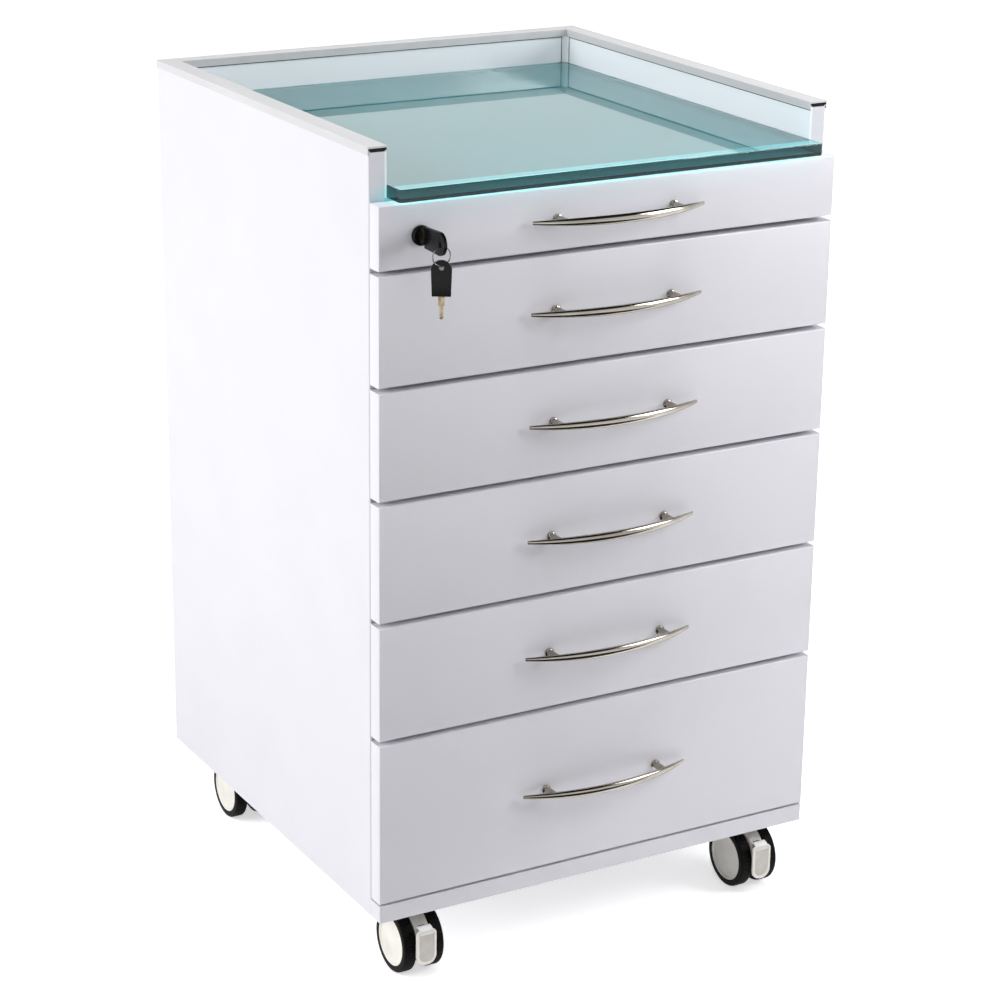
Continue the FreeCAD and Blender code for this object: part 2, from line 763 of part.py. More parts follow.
def brake_pedal(x, axle_y):
    """Curved toe plate in front of the wheels on a lug that turns in the hood."""
    axle_z = wheel_diameter / 2
    pivot_y, pivot_z = pedal_pivot(axle_y, axle_z)
    back = axle_y - wheel_diameter / 2 - pedal_back_gap
    top = pivot_z + pedal_top_rise
    low = top - pedal_length
    middle = (top + low) / 2
    lean = pedal_flare / 2
    x0 = x - pedal_width / 2

    def at(out, z):
        return FreeCAD.Vector(x0, back - out, z)

    rear = Part.Arc(at(0, top), at(lean - pedal_crown, middle),
                    at(pedal_flare, low)).toShape()
    front = Part.Arc(at(pedal_flare + pedal_edge, low),
                     at(lean + pedal_edge + pedal_crown, middle),
                     at(pedal_edge, top)).toShape()
    wire = Part.Wire([rear,
                      Part.LineSegment(at(pedal_flare, low),
                                       at(pedal_flare + pedal_edge, low)).toShape(),
                      front,
                      Part.LineSegment(at(pedal_edge, top), at(0, top)).toShape()])
    toe = Part.Face(wire).extrude(FreeCAD.Vector(pedal_width, 0, 0))
    radius = pedal_width / 2
    front_y = back - pedal_flare - pedal_edge - 2 * pedal_crown
    rear_y = back + pedal_crown
    round_end = cylinder(radius, FreeCAD.Vector(x, rear_y, low + radius),
                         FreeCAD.Vector(x, front_y, low + radius))
    upper = block(x - radius, x + radius, front_y, rear_y, low + radius, top)
    toe = toe.common(round_end.fuse(upper))
    half = pedal_lug_width / 2
    across = FreeCAD.Vector(pedal_lug_width, 0, 0)
    start = FreeCAD.Vector(x - half, pivot_y, pivot_z)
    lug = Part.makeCylinder(pedal_eye_radius, pedal_lug_width, start, across)
    arm = block(x - half, x + half, back - pedal_edge / 2, pivot_y,
                pivot_z - pedal_eye_radius, top)
    hole = Part.makeCylinder(pedal_pin_diameter / 2 + pin_clearance, pedal_lug_width,
                             start, across)
    return toe.fuse([lug, arm]).cut(hole)


def pedal_pin(x, axle_y):
    """Pin across the hood that the pedal turns on."""
    pivot_y, pivot_z = pedal_pivot(axle_y, wheel_diameter / 2)
    half = housing_width / 2
    return cylinder(pedal_pin_diameter / 2, FreeCAD.Vector(x - half, pivot_y, pivot_z),
                    FreeCAD.Vector(x + half, pivot_y, pivot_z))


os.makedirs("parts", exist_ok=True)

left_side = side_panel()
save("side_panel_left", left_side)
save("side_panel_right", mirrored_x(left_side))
save("back_panel", back_panel())
save("base_panel", base_panel())
save("top_panel", top_panel())
save("strike_plate", strike_plate())
save("glass_worktop", glass_top())
save("gallery_lining", *gallery_lining())
save("gallery_caps", *gallery_caps())

cabinet_rails = []
for level in range(len(front_heights)):
    number = str(len(front_heights) - level)
    cabinet_rails += [rail(0, level), mirrored_x(rail(0, level))]
    save("drawer_" + number + "_front", drawer_front(level))
    save("drawer_" + number + "_box", *drawer_box(level))
    save("drawer_" + number + "_handle", handle(level))
    save("drawer_" + number + "_rails", rail(2, level), mirrored_x(rail(2, level)))
    save("middle_" + number + "_rails", rail(1, level), mirrored_x(rail(1, level)))
save("cabinet_rails", *cabinet_rails)

save("lock_housing", lock_housing())
save("lock_plug", *lock_plug())
save("lock_key", key_in_lock())
save("key_ring", key_ring())

save("caster_plates", *[caster_plate(x, y) for name, x, y in caster_axes()])
for name, x, y in caster_axes():
    axle_y = y - caster_trail
    braked = name.startswith("front")
    save("caster_housing_" + name, caster_housing(x, y, braked))
    if braked:
        save("brake_pedal_" + name, brake_pedal(x, axle_y))
    save("wheel_" + name + "_outer" if x < 0 else "wheel_" + name + "_inner",
         wheel(x, axle_y, -1))
    save("wheel_" + name + "_inner" if x < 0 else "wheel_" + name + "_outer",
         wheel(x, axle_y, 1))
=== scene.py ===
import bpy
import math
from mathutils import Matrix, Vector


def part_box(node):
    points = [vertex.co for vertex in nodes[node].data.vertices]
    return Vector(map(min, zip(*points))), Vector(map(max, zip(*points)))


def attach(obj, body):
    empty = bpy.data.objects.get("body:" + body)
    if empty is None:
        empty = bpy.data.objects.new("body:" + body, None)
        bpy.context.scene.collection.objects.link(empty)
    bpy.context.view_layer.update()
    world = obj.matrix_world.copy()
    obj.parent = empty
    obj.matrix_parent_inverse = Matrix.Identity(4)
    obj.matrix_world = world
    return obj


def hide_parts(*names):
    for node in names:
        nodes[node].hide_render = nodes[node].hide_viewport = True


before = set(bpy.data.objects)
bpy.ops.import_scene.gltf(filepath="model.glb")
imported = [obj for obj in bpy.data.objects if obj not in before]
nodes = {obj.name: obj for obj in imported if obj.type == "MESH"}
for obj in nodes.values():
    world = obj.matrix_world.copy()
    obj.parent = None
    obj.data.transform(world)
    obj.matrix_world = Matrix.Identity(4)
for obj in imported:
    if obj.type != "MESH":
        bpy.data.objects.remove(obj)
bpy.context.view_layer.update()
mm = 0.001
drawerNumbers = range(1, 7)


# Colour and nodes

patternSet = {
    "toneSpan": (0.35, 0.65),
    "toneDetail": 4,
    "sheenSpan": (0.3, 0.7),
    "sheenDetail": 3,
}


def hexColour(text):
    # sRGB hex to the linear values that the shader wants
    parts = [int(text[i:i + 2], 16) / 255 for i in (1, 3, 5)]
    return [p / 12.92 if p <= 0.04045 else ((p + 0.055) / 1.055) ** 2.4 for p in parts] + [1]


def addNode(tree, kind, settings=None, values=None, links=None):
    # settings are the node's own options, values its unlinked sockets, links socket -> output
    node = tree.nodes.new(kind)
    for key, value in (settings or {}).items():
        setattr(node, key, value)
    for key, value in (values or {}).items():
        node.inputs[key].default_value = value
    for key, output in (links or {}).items():
        tree.links.new(output, node.inputs[key])
    return node


def insideOf(material):
    # the material's node tree and its one shader
    return material.node_tree, material.node_tree.nodes["Principled BSDF"]


def objectCoords(material):
    return material.node_tree.nodes["Texture Coordinate"].outputs["Object"]


def startMaterial(name, colour, roughness, metallic=0, more=None):
    # a material with one Principled shader, its plain values set on the shader itself
    material = bpy.data.materials.new(name)
    material.use_nodes = True
    tree, shader = insideOf(material)
    addNode(tree, "ShaderNodeTexCoord")
    values = {"Base Color": hexColour(colour), "Roughness": roughness, "Metallic": metallic}
    for key, value in {**values, **(more or {})}.items():
        shader.inputs[key].default_value = value
    return material


def cloudOf(material, cellMm, stretch, detail):
    # noise with cells of a real size, drawn out along the axes where stretch is under 1
    tree = material.node_tree
    spread = addNode(tree, "ShaderNodeMapping", values={"Scale": stretch},
                     links={"Vector": objectCoords(material)})
    noise = addNode(tree, "ShaderNodeTexNoise", values={"Scale": 1000 / cellMm, "Detail": detail},
                    links={"Vector": spread.outputs["Vector"]})
    return noise.outputs["Fac"]


def surfaceGrain(material, grainMm, depthMm, stretch=(1, 1, 1), detail=3):
    # fine relief of a real size, as bump
    tree, shader = insideOf(material)
    bump = addNode(tree, "ShaderNodeBump", values={"Strength": 1, "Distance": depthMm * mm},
                   links={"Height": cloudOf(material, grainMm, stretch, detail)})
    tree.links.new(bump.outputs["Normal"], shader.inputs["Normal"])


def patchyColour(material, light, dark, patchMm, stretch=(1, 1, 1)):
    # two close tones in soft patches
    tree, shader = insideOf(material)
    cloud = cloudOf(material, patchMm, stretch, patternSet["toneDetail"])
    ramp = addNode(tree, "ShaderNodeValToRGB", links={"Fac": cloud})
    ends = zip(ramp.color_ramp.elements, patternSet["toneSpan"], (dark, light))
    for element, position, tone in ends:
        element.position = position
        element.color = hexColour(tone)
    tree.links.new(ramp.outputs["Color"], shader.inputs["Base Color"])


def patchyRoughness(material, low, high, patchMm, stretch=(1, 1, 1)):
    # handling and cleaning leave a sheet a little glossier in places
    tree, shader = insideOf(material)
    cloud = cloudOf(material, patchMm, stretch, patternSet["sheenDetail"])
    start, stop = patternSet["sheenSpan"]
    spanned = addNode(tree, "ShaderNodeMapRange",
                      values={"From Min": start, "From Max": stop, "To Min": low, "To Max": high},
                      links={"Value": cloud})
    tree.links.new(spanned.outputs["Result"], shader.inputs["Roughness"])


def straightRays(tree, path):
    # 1 for rays from the camera, also behind glass, and 0 for the others
    either = addNode(tree, "ShaderNodeMath", {"operation": "MAXIMUM"}, links={
        0: path.outputs["Is Camera Ray"], 1: path.outputs["Is Transmission Ray"]})
    return either.outputs["Value"]


# Materials

def melamineBoard():
    # melamine-faced board: cool white, satin, with the faint orange peel of the press plate
    material = startMaterial("melamineBoard", "#D6D5DB", 0.34)
    patchyColour(material, "#D7D6DC", "#D5D4DA", 90)
    patchyRoughness(material, 0.3, 0.4, 60)
    surfaceGrain(material, 2.2, 0.012)
    return material


def edgeBand():
    # ABS edge band: the same white, a little glossier than the face
    material = startMaterial("edgeBandAbs", "#DAD9DF", 0.28)
    surfaceGrain(material, 1.2, 0.006, stretch=(1, 1, 4))
    return material


def capLacquer():
    # lacquered aluminium channel: white with fine lines along the extrusion
    material = startMaterial("lacqueredAluminiumChannel", "#C9C9CB", 0.36)
    patchyColour(material, "#CBCBCD", "#C6C6C8", 25, stretch=(1, 0.2, 1))
    surfaceGrain(material, 0.8, 0.005, stretch=(1, 0.1, 1))
    return material


def liningAcrylic():
    # glossy acrylic sheet: pale blue-white that mirrors the glass beside it
    material = startMaterial("liningAcrylic", "#F1F6FB", 0.12)
    patchyRoughness(material, 0.08, 0.18, 40)
    surfaceGrain(material, 14, 0.02, detail=1)
    return material


def trayEnamel():
    # powder-coated steel sheet: white with a fine even texture
    material = startMaterial("powderCoatedSteel", "#E4E4E6", 0.42)
    patchyRoughness(material, 0.38, 0.48, 30)
    surfaceGrain(material, 0.9, 0.02)
    return material


def zincSteel():
    # zinc-plated rolled steel: grey metal with the long marks of the rollers
    material = startMaterial("zincPlatedSteel", "#B9BCC0", 0.32, metallic=1)
    patchyColour(material, "#C4C7CB", "#A6A9AE", 18, stretch=(1, 0.15, 1))
    patchyRoughness(material, 0.24, 0.42, 6, stretch=(1, 0.05, 1))
    surfaceGrain(material, 0.7, 0.006, stretch=(1, 0.04, 1))
    return material


def satinNickel():
    # nickel plating brushed along the bar: warm grey, streaked highlights
    material = startMaterial("satinNickelPlating", "#A9A399", 0.12, metallic=1)
    patchyColour(material, "#B3ADA3", "#989289", 12, stretch=(0.08, 1, 1))
    patchyRoughness(material, 0.08, 0.16, 2.5, stretch=(0.03, 1, 1))
    surfaceGrain(material, 0.5, 0.006, stretch=(0.02, 1, 1))
    return material


def blackAbs():
    # moulded black ABS: spark-eroded grain that breaks the highlight up
    material = startMaterial("blackAbs", "#070708", 0.22, more={"Specular IOR Level": 0.2})
    patchyRoughness(material, 0.16, 0.3, 2)
    surfaceGrain(material, 0.9, 0.05)
    return material


def platedBrass():
    # nickel-plated brass, worn back to the brass in patches
    material = startMaterial("platedBrass", "#A99A7C", 0.3, metallic=1)
    patchyColour(material, "#B8AC94", "#8B7852", 3)
    surfaceGrain(material, 0.4, 0.008, stretch=(1, 1, 0.1))
    return material


def blackenedBrass():
    # lock plug: blackened brass, a little paler in patches
    material = startMaterial("blackenedBrass", "#2C2A28", 0.3, metallic=1)
    patchyColour(material, "#3A3733", "#1C1B1A", 2)
    surfaceGrain(material, 0.4, 0.008)
    return material


def springSteel():
    # drawn spring steel wire, bright
    material = startMaterial("springSteelWire", "#77787A", 0.2, metallic=1)
    patchyRoughness(material, 0.14, 0.3, 1.5)
    return material


def treadRubber():
    # moulded rubber tread: black, matt, dusty in patches
    material = startMaterial("treadRubber", "#050505", 0.55, more={"Specular IOR Level": 0.08})
    patchyColour(material, "#0E0C0A", "#050505", 5)
    surfaceGrain(material, 0.8, 0.03)
    return material


def ivoryNylon():
    # moulded nylon: ivory, slightly waxy
    material = startMaterial("ivoryNylon", "#E9E6DE", 0.38, more={
        "Subsurface Weight": 0.1, "Subsurface Radius": (0.004, 0.003, 0.002), "Subsurface Scale": 0.5})
    patchyColour(material, "#EAE7DF", "#E6E3DA", 12)
    surfaceGrain(material, 0.8, 0.02)
    return material


def greyNylon():
    # glass-filled nylon: warm light grey with a dry sheen
    material = startMaterial("greyNylon", "#C6C2BC", 0.42)
    patchyColour(material, "#C9C5BF", "#C0BCB6", 9)
    surfaceGrain(material, 0.9, 0.03)
    return material


def shadeAndJointMaterial():
    # dark grey, matt: painted shadow under the gallery caps' lips, and dark joint lines beside the
    # corner coves
    material = startMaterial("shadeAndJointDark", "#2B2D30", 0.65)
    surfaceGrain(material, 0.5, 0.01)
    return material


def glassBed():
    # teal lacquer under the glass: even, and what gives the sheet above it its depth
    material = startMaterial("glassBedLacquer", "#A6C9CC", 0.4)
    patchyColour(material, "#A8CBCE", "#A4C7CA", 70)
    return material


def tintedGlass():
    # float glass: absorption per metre of path gives the pale top and the dark edge
    material = startMaterial("tintedFloatGlass", "#FFFFFF", 0.02,
                             more={"Transmission Weight": 1, "IOR": 1.52})
    tree, shader = insideOf(material)
    body = addNode(tree, "ShaderNodeVolumeAbsorption",
                   values={"Color": (0.0, 0.8, 0.81, 1), "Density": 60})
    clear = addNode(tree, "ShaderNodeBsdfTransparent", values={"Color": (0.8, 0.92, 0.94, 1)})
    path = addNode(tree, "ShaderNodeLightPath")
    # shadow rays pass straight through, so that the board under the glass is lit
    mix = addNode(tree, "ShaderNodeMixShader", links={
        0: path.outputs["Is Shadow Ray"], 1: shader.outputs["BSDF"], 2: clear.outputs["BSDF"]})
    output = tree.nodes["Material Output"]
    tree.links.new(mix.outputs["Shader"], output.inputs["Surface"])
    tree.links.new(body.outputs["Volume"], output.inputs["Volume"])
    return material


board = melamineBoard()
banding = edgeBand()
capPaint = capLacquer()
acrylic = liningAcrylic()
enamel = trayEnamel()
zinc = zincSteel()
nickel = satinNickel()
blackPlastic = blackAbs()
brass = platedBrass()
plugMetal = blackenedBrass()
wire = springSteel()
rubber = treadRubber()
ivory = ivoryNylon()
greyPlastic = greyNylon()
shadeAndJointDark = shadeAndJointMaterial()
bedLacquer = glassBed()
glass = tintedGlass()
print("materials made")


# Modelling helpers

close = 0.05 * mm  # a point this near a plane lies on it
facing = 0.9  # a face looks along an axis when its normal reaches this far


def setMode(mode):
    bpy.ops.object.mode_set(mode=mode)


def only(piece):
    # this piece alone selected and active, in object mode
    if bpy.context.object and bpy.context.object.mode != "OBJECT":
        setMode("OBJECT")
    bpy.ops.object.select_all(action="DESELECT")
    piece.select_set(True)
    bpy.context.view_layer.objects.active = piece


def settle(piece):
    # its place, turn and scale go into its mesh
    only(piece)
    bpy.ops.object.transform_apply(location=True, rotation=True, scale=True)
    return piece


def clearPick(piece, kind):
    # leaves nothing picked, so that faces, edges or points can be picked one by one
    only(piece)
    setMode("EDIT")
    bpy.ops.mesh.select_mode(type=kind)
    bpy.ops.mesh.select_all(action="DESELECT")
    setMode("OBJECT")


def pickFaces(piece, test):
    # enters edit mode with the faces whose (centre, normal) pass
    clearPick(piece, "FACE")
    for face in piece.data.polygons:
        face.select = test(face.center, face.normal)
    setMode("EDIT")


def bevelEdges(piece, test, width, steps):
    # rounds the edges whose (first end, other end) pass
    clearPick(piece, "EDGE")
    points = piece.data.vertices
    for edge in piece.data.edges:
        edge.select = test(points[edge.vertices[0]].co, points[edge.vertices[1]].co)
    setMode("EDIT")
    bpy.ops.mesh.bevel(offset=width, segments=steps, affect="EDGES")
    setMode("OBJECT")


def bevelRims(piece, test, width, steps):
    # rounds the outline of the faces that pass
    pickFaces(piece, test)
    bpy.ops.mesh.region_to_loop()
    bpy.ops.mesh.bevel(offset=width, segments=steps, affect="EDGES", clamp_overlap=True)
    setMode("OBJECT")


def inset(width):
    bpy.ops.mesh.inset(thickness=width)


def extrude(x, y, z):
    bpy.ops.mesh.extrude_region_move(TRANSFORM_OT_translate={"value": (x, y, z)})


def resize(x, y, z, centre):
    bpy.ops.transform.resize(value=(x, y, z), center_override=centre)


def dress(piece, material):
    piece.data.materials.clear()
    piece.data.materials.append(material)


def finishPiece(piece, name, body, material, smooth=35):
    # the last step for every new piece: finish, name, body and slot
    settle(piece)
    piece.name = name
    if material:
        dress(piece, material)
    bpy.ops.object.shade_smooth_by_angle(angle=math.radians(smooth))
    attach(piece, body)


def runModifier(piece, kind, **settings):
    only(piece)
    modifier = piece.modifiers.new(kind.lower(), kind)
    for key, value in settings.items():
        setattr(modifier, key, value)
    bpy.ops.object.modifier_apply(modifier=modifier.name)


def combine(piece, other, operation):
    # a boolean with another piece, which is used up
    runModifier(piece, "BOOLEAN", object=other, operation=operation, solver="EXACT")
    bpy.data.objects.remove(other)


def soften(piece, width, steps=2, angle=30):
    # a small round along every edge sharper than the angle
    runModifier(piece, "BEVEL", width=width, segments=steps, limit_method="ANGLE",
                angle_limit=math.radians(angle))


def blockBetween(low, high):
    # a cube primitive that fills the space between two corners
    bpy.ops.mesh.primitive_cube_add(size=1, location=(Vector(low) + Vector(high)) / 2)
    piece = bpy.context.object
    piece.scale = Vector(high) - Vector(low)
    return settle(piece)


def roundBar(radius, start, end, sides=32):
    # a cylinder primitive between two points
    along = Vector(end) - Vector(start)
    bpy.ops.mesh.primitive_cylinder_add(vertices=sides, radius=radius, depth=along.length,
                                        location=(Vector(start) + Vector(end)) / 2,
                                        rotation=along.to_track_quat("Z", "Y").to_euler())
    return settle(bpy.context.object)


def copyOf(piece, move=(0, 0, 0)):
    # a copy with its own mesh, moved along
    only(piece)
    bpy.ops.object.duplicate(linked=False)
    bpy.ops.transform.translate(value=move)
    return settle(bpy.context.object)


def copyAt(piece, matrix):
    # a copy of a piece modelled at the origin, set down where it belongs
    other = copyOf(piece)
    other.matrix_world = matrix
    return settle(other)


def joinPieces(pieces):
    only(pieces[0])
    for other in pieces[1:]:
        other.select_set(True)
    bpy.ops.object.join()
    return pieces[0]


def middleOf(name):
    low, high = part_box(name)
    return (Vector(low) + Vector(high)) / 2


# Camera, fitted to the cabinet's corners

cameraSet = {
    "place": (-1.3499, -2.3877, 1.3550),
    "yaw": 0.5172,
    "pitch": 0.3345,
    "roll": 0.0132,
    "focalPixels": 2771.7,
    "imagePixels": 1000,
    "sensor": 36.0,
}


def addCamera():
    bpy.ops.object.select_all(action="DESELECT")
    bpy.ops.object.camera_add()
    camera = bpy.context.object
    camera.name = "camera"
    turn = (Matrix.Rotation(-cameraSet["yaw"], 4, "Z")
            @ Matrix.Rotation(math.pi / 2 - cameraSet["pitch"], 4, "X")
            @ Matrix.Rotation(cameraSet["roll"], 4, "Z"))
    camera.matrix_world = Matrix.Translation(cameraSet["place"]) @ turn
    camera.data.sensor_width = cameraSet["sensor"]
    camera.data.lens = cameraSet["focalPixels"] / cameraSet["imagePixels"] * cameraSet["sensor"]
    bpy.context.scene.camera = camera


addCamera()
print("camera placed")


# Carcass: the CAD boards stay and take their finish

for name in ("side_panel_left", "side_panel_right", "back_panel", "base_panel"):
    dress(nodes[name], board)
for name in ("strike_plate", "cabinet_rails", "caster_plates"):
    dress(nodes[name], zinc)
for number in drawerNumbers:
    dress(nodes[f"drawer_{number}_box"], enamel)
    dress(nodes[f"drawer_{number}_rails"], zinc)
    dress(nodes[f"middle_{number}_rails"], zinc)
dress(nodes["top_panel"], bedLacquer)
dress(nodes["gallery_caps"], capPaint)
dress(nodes["gallery_lining"], acrylic)
dress(nodes["lock_plug"], plugMetal)
print("carcass dressed")


# Drawer fronts

frontSet = {
    "edgeRadius": 1.5 * mm,
    "edgeSteps": 3,
    "lockBore": 8.1 * mm,
    "boreOver": 10 * mm,
    "leastBand": 40 * mm * mm,
}


def addFront(number):
    s = frontSet
    low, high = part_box(f"drawer_{number}_front")
    piece = blockBetween(low, high)
    bevelEdges(piece, lambda a, b: max(a.y, b.y) < low[1] + close, s["edgeRadius"], s["edgeSteps"])
    if number == 1:
        lock = middleOf("lock_housing")
        cutter = roundBar(s["lockBore"], (lock.x, low[1] - s["boreOver"], lock.z),
                          (lock.x, high[1] + s["boreOver"], lock.z))
        combine(piece, cutter, "DIFFERENCE")
    finishPiece(piece, f"frontBoard{number}", f"drawer_{number}", board, 40)
    # the four narrow sides carry the edge band
    piece.data.materials.append(banding)
    for face in piece.data.polygons:
        narrow = abs(face.normal.y) < 0.5 and face.area > s["leastBand"]
        face.material_index = 1 if narrow else 0
    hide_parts(f"drawer_{number}_front")


for number in drawerNumbers:
    addFront(number)
print("drawer fronts made")


# Bow handles

handleSet = {
    "halfLength": 94 * mm,
    "rise": 20.3 * mm,
    "tipReach": 5.9 * mm,
    "barTall": 9 * mm,
    "barThick": 6 * mm,
    "tipShare": 0.4,
    "taper": 2.4,
    "endBand": 0.3 * mm,
    "endRound": 0.6 * mm,
    "ringSides": 24,
    "stations": 30,
    "postCentres": 128 * mm,
    "postRadius": 3.7 * mm,
    "footRadius": 4.8 * mm,
    "footTall": 1.4 * mm,
    "footSlope": 0.4 * mm,
    "postSides": 28,
}


def addHandleBar(frontY, centreZ):
    # a round ring drawn out station by station along the bow, thinner towards both tips
    s = handleSet
    bowRadius = (s["halfLength"] ** 2 + s["rise"] ** 2) / (2 * s["rise"])
    halfTurn = math.asin(s["halfLength"] / bowRadius)
    hub = Vector((0, frontY - s["tipReach"] - s["rise"] + bowRadius, centreZ))

    def station(turn):
        return hub + Vector((bowRadius * math.sin(turn), -bowRadius * math.cos(turn), 0))

    def share(turn):
        return 1 - (1 - s["tipShare"]) * abs(turn / halfTurn) ** s["taper"]

    def atEnd(point):
        return abs(abs(point.x) - s["halfLength"]) < s["endBand"]

    step = 2 * halfTurn / s["stations"]
    bpy.ops.object.select_all(action="DESELECT")
    bpy.ops.mesh.primitive_circle_add(vertices=s["ringSides"], radius=0.5, fill_type="NGON",
                                      rotation=(0, math.pi / 2, 0))
    bar = bpy.context.object
    bar.scale = (s["barTall"] * share(halfTurn), s["barThick"] * share(halfTurn), 1)
    settle(bar)
    setMode("EDIT")
    bpy.ops.mesh.select_all(action="SELECT")
    bpy.ops.transform.translate(value=station(-halfTurn))
    bpy.ops.transform.rotate(value=halfTurn, orient_axis="Z", center_override=station(-halfTurn))
    for i in range(s["stations"]):
        turn = -halfTurn + i * step
        extrude(*(station(turn + step) - station(turn)))
        bpy.ops.transform.rotate(value=-step, orient_axis="Z", center_override=station(turn + step))
        ratio = share(turn + step) / share(turn)
        resize(ratio, ratio, ratio, station(turn + step))
    bpy.ops.mesh.select_all(action="SELECT")
    bpy.ops.mesh.normals_make_consistent(inside=False)
    # the two flat ends get a rounded rim
    bevelEdges(bar, lambda a, b: atEnd(a) and atEnd(b), s["endRound"], 2)
    return bar, station, bowRadius


def addHandlePost(x, frontY, centreZ, reach):
    # a turned post: wide foot on the front, a waist, then straight into the bar
    s = handleSet
    post = roundBar(s["footRadius"], (x, frontY, centreZ), (x, frontY - s["footTall"], centreZ),
                    s["postSides"])
    pickFaces(post, lambda c, n: n.y < -facing)
    inset(s["footSlope"])
    extrude(0, -s["footSlope"], 0)
    shrink = s["postRadius"] / (s["footRadius"] - s["footSlope"])
    resize(shrink, 1, shrink, (x, frontY, centreZ))
    extrude(0, s["footTall"] + s["footSlope"] - reach, 0)
    setMode("OBJECT")
    return post


def addHandles():
    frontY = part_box("drawer_1_handle")[1][1]
    firstZ = middleOf("drawer_1_handle").z
    bar, station, bowRadius = addHandleBar(frontY, firstZ)
    postX = handleSet["postCentres"] / 2
    postY = station(math.asin(postX / bowRadius)).y
    posts = [addHandlePost(x, frontY, firstZ, frontY - postY) for x in (-postX, postX)]
    first = joinPieces([bar] + posts)
    for number in drawerNumbers:
        piece = copyOf(first, (0, 0, middleOf(f"drawer_{number}_handle").z - firstZ))
        finishPiece(piece, f"bowHandle{number}", f"drawer_{number}", nickel, 50)
        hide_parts(f"drawer_{number}_handle")
    bpy.data.objects.remove(first)


addHandles()
print("handles made")


# Worktop glass

glassSet = {"arris": 0.6 * mm, "cornerFront": 3 * mm, "cornerBack": 5.5 * mm}


def addGlass():
    s = glassSet
    low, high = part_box("glass_worktop")
    piece = blockBetween(low, high)
    upright = (high[2] - low[2]) / 2
    bevelEdges(piece, lambda a, b: abs(a.z - b.z) > upright and a.y < 0, s["cornerFront"], 5)
    bevelEdges(piece, lambda a, b: abs(a.z - b.z) > upright and a.y > 0, s["cornerBack"], 6)
    bevelRims(piece, lambda c, n: abs(n.z) > facing, s["arris"], 2)
    finishPiece(piece, "worktopGlass", "cabinet", glass, 20)
    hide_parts("glass_worktop")


addGlass()
print("glass made")


# Lock bezel

bezelSet = {
    "sides": 64,
    "barrelStep": 1.5 * mm,
    "rimWide": 2.6 * mm,
    "recessSlope": 0.5 * mm,
    "recessDepth": 0.6 * mm,
    "rimRound": 1.3 * mm,
    "rimFrom": 9 * mm,
    "plugBore": 5.05 * mm,
    "boreOver": 5 * mm,
}


def addLockBezel():
    # turned bezel: round rim, shallow recess round the plug, barrel behind
    s = bezelSet
    low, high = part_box("lock_housing")
    lock = middleOf("lock_housing")
    faceY, backY = low[1], high[1]
    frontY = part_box("drawer_1_front")[0][1]

    def onRim(point):
        return point.y < faceY + close and math.hypot(point.x - lock.x, point.z - lock.z) > s["rimFrom"]

    piece = roundBar((high[0] - low[0]) / 2, (lock.x, frontY, lock.z), (lock.x, faceY, lock.z),
                     s["sides"])
    pickFaces(piece, lambda c, n: n.y > facing)
    inset(s["barrelStep"])
    extrude(0, backY - frontY, 0)
    setMode("OBJECT")
    pickFaces(piece, lambda c, n: n.y < -facing)
    inset(s["rimWide"])
    inset(s["recessSlope"])
    bpy.ops.transform.translate(value=(0, s["recessDepth"], 0))
    bevelEdges(piece, lambda a, b: onRim(a) and onRim(b), s["rimRound"], 4)
    # the bore for the plug goes right through
    bore = roundBar(s["plugBore"], (lock.x, faceY - s["boreOver"], lock.z),
                    (lock.x, backY + s["boreOver"], lock.z), 48)
    combine(piece, bore, "DIFFERENCE")
    finishPiece(piece, "lockBezel", "drawer_1", blackPlastic, 35)
    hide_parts("lock_housing")


addLockBezel()
print("lock bezel made")


# Keys and ring

keySet = {
    "bowLength": 38 * mm,
    "bowHalf": 10.8 * mm,
    "bowThick": 3.4 * mm,
    "bowRound": 1.0 * mm,
    "footShare": 0.92,
    "holeRadius": 2.75 * mm,
    "holeFromEnd": 8 * mm,
    "bladeLength": 24 * mm,
    "bladeThick": 2.0 * mm,
    "bladeRound": 0.15 * mm,
    "inBow": 0.5 * mm,
    "shoulder": 9 * mm,
    "shoulderHalf": 3.3 * mm,
    "stepLong": 1.2 * mm,
    "tipHalf": 2.1 * mm,
    "bites": 4,
    "biteShare": 0.72,
    "noseLong": 1.3 * mm,
    "noseShare": (0.3, 0.7),
    "grooveBorder": 0.8 * mm,
    "grooveShare": 0.75,
}
ringSet = {
    "wire": 1.2 * mm,
    "around": 96,
    "across": 14,
    "lineWide": 0.12 * mm,
    "hangGap": 0.3 * mm,
    "spareTwist": 60,
    "spareShare": 0.88,
}


def addKeyBow():
    # flat key bow along +X from its foot: a round end drawn out to a flat foot
    s = keySet
    centreX = s["bowLength"] - s["bowHalf"]
    half = s["bowThick"] / 2
    bow = roundBar(s["bowHalf"], (centreX, 0, -half), (centreX, 0, half), 48)
    clearPick(bow, "VERT")
    for point in bow.data.vertices:
        point.select = point.co.x < centreX - close
    setMode("EDIT")
    resize(0, s["footShare"], 1, (0, 0, 0))
    setMode("OBJECT")
    bevelRims(bow, lambda c, n: abs(n.z) > facing, s["bowRound"], 3)
    holeX = s["bowLength"] - s["holeFromEnd"]
    hole = roundBar(s["holeRadius"], (holeX, 0, -s["bowThick"]), (holeX, 0, s["bowThick"]), 28)
    combine(bow, hole, "DIFFERENCE")
    return bow


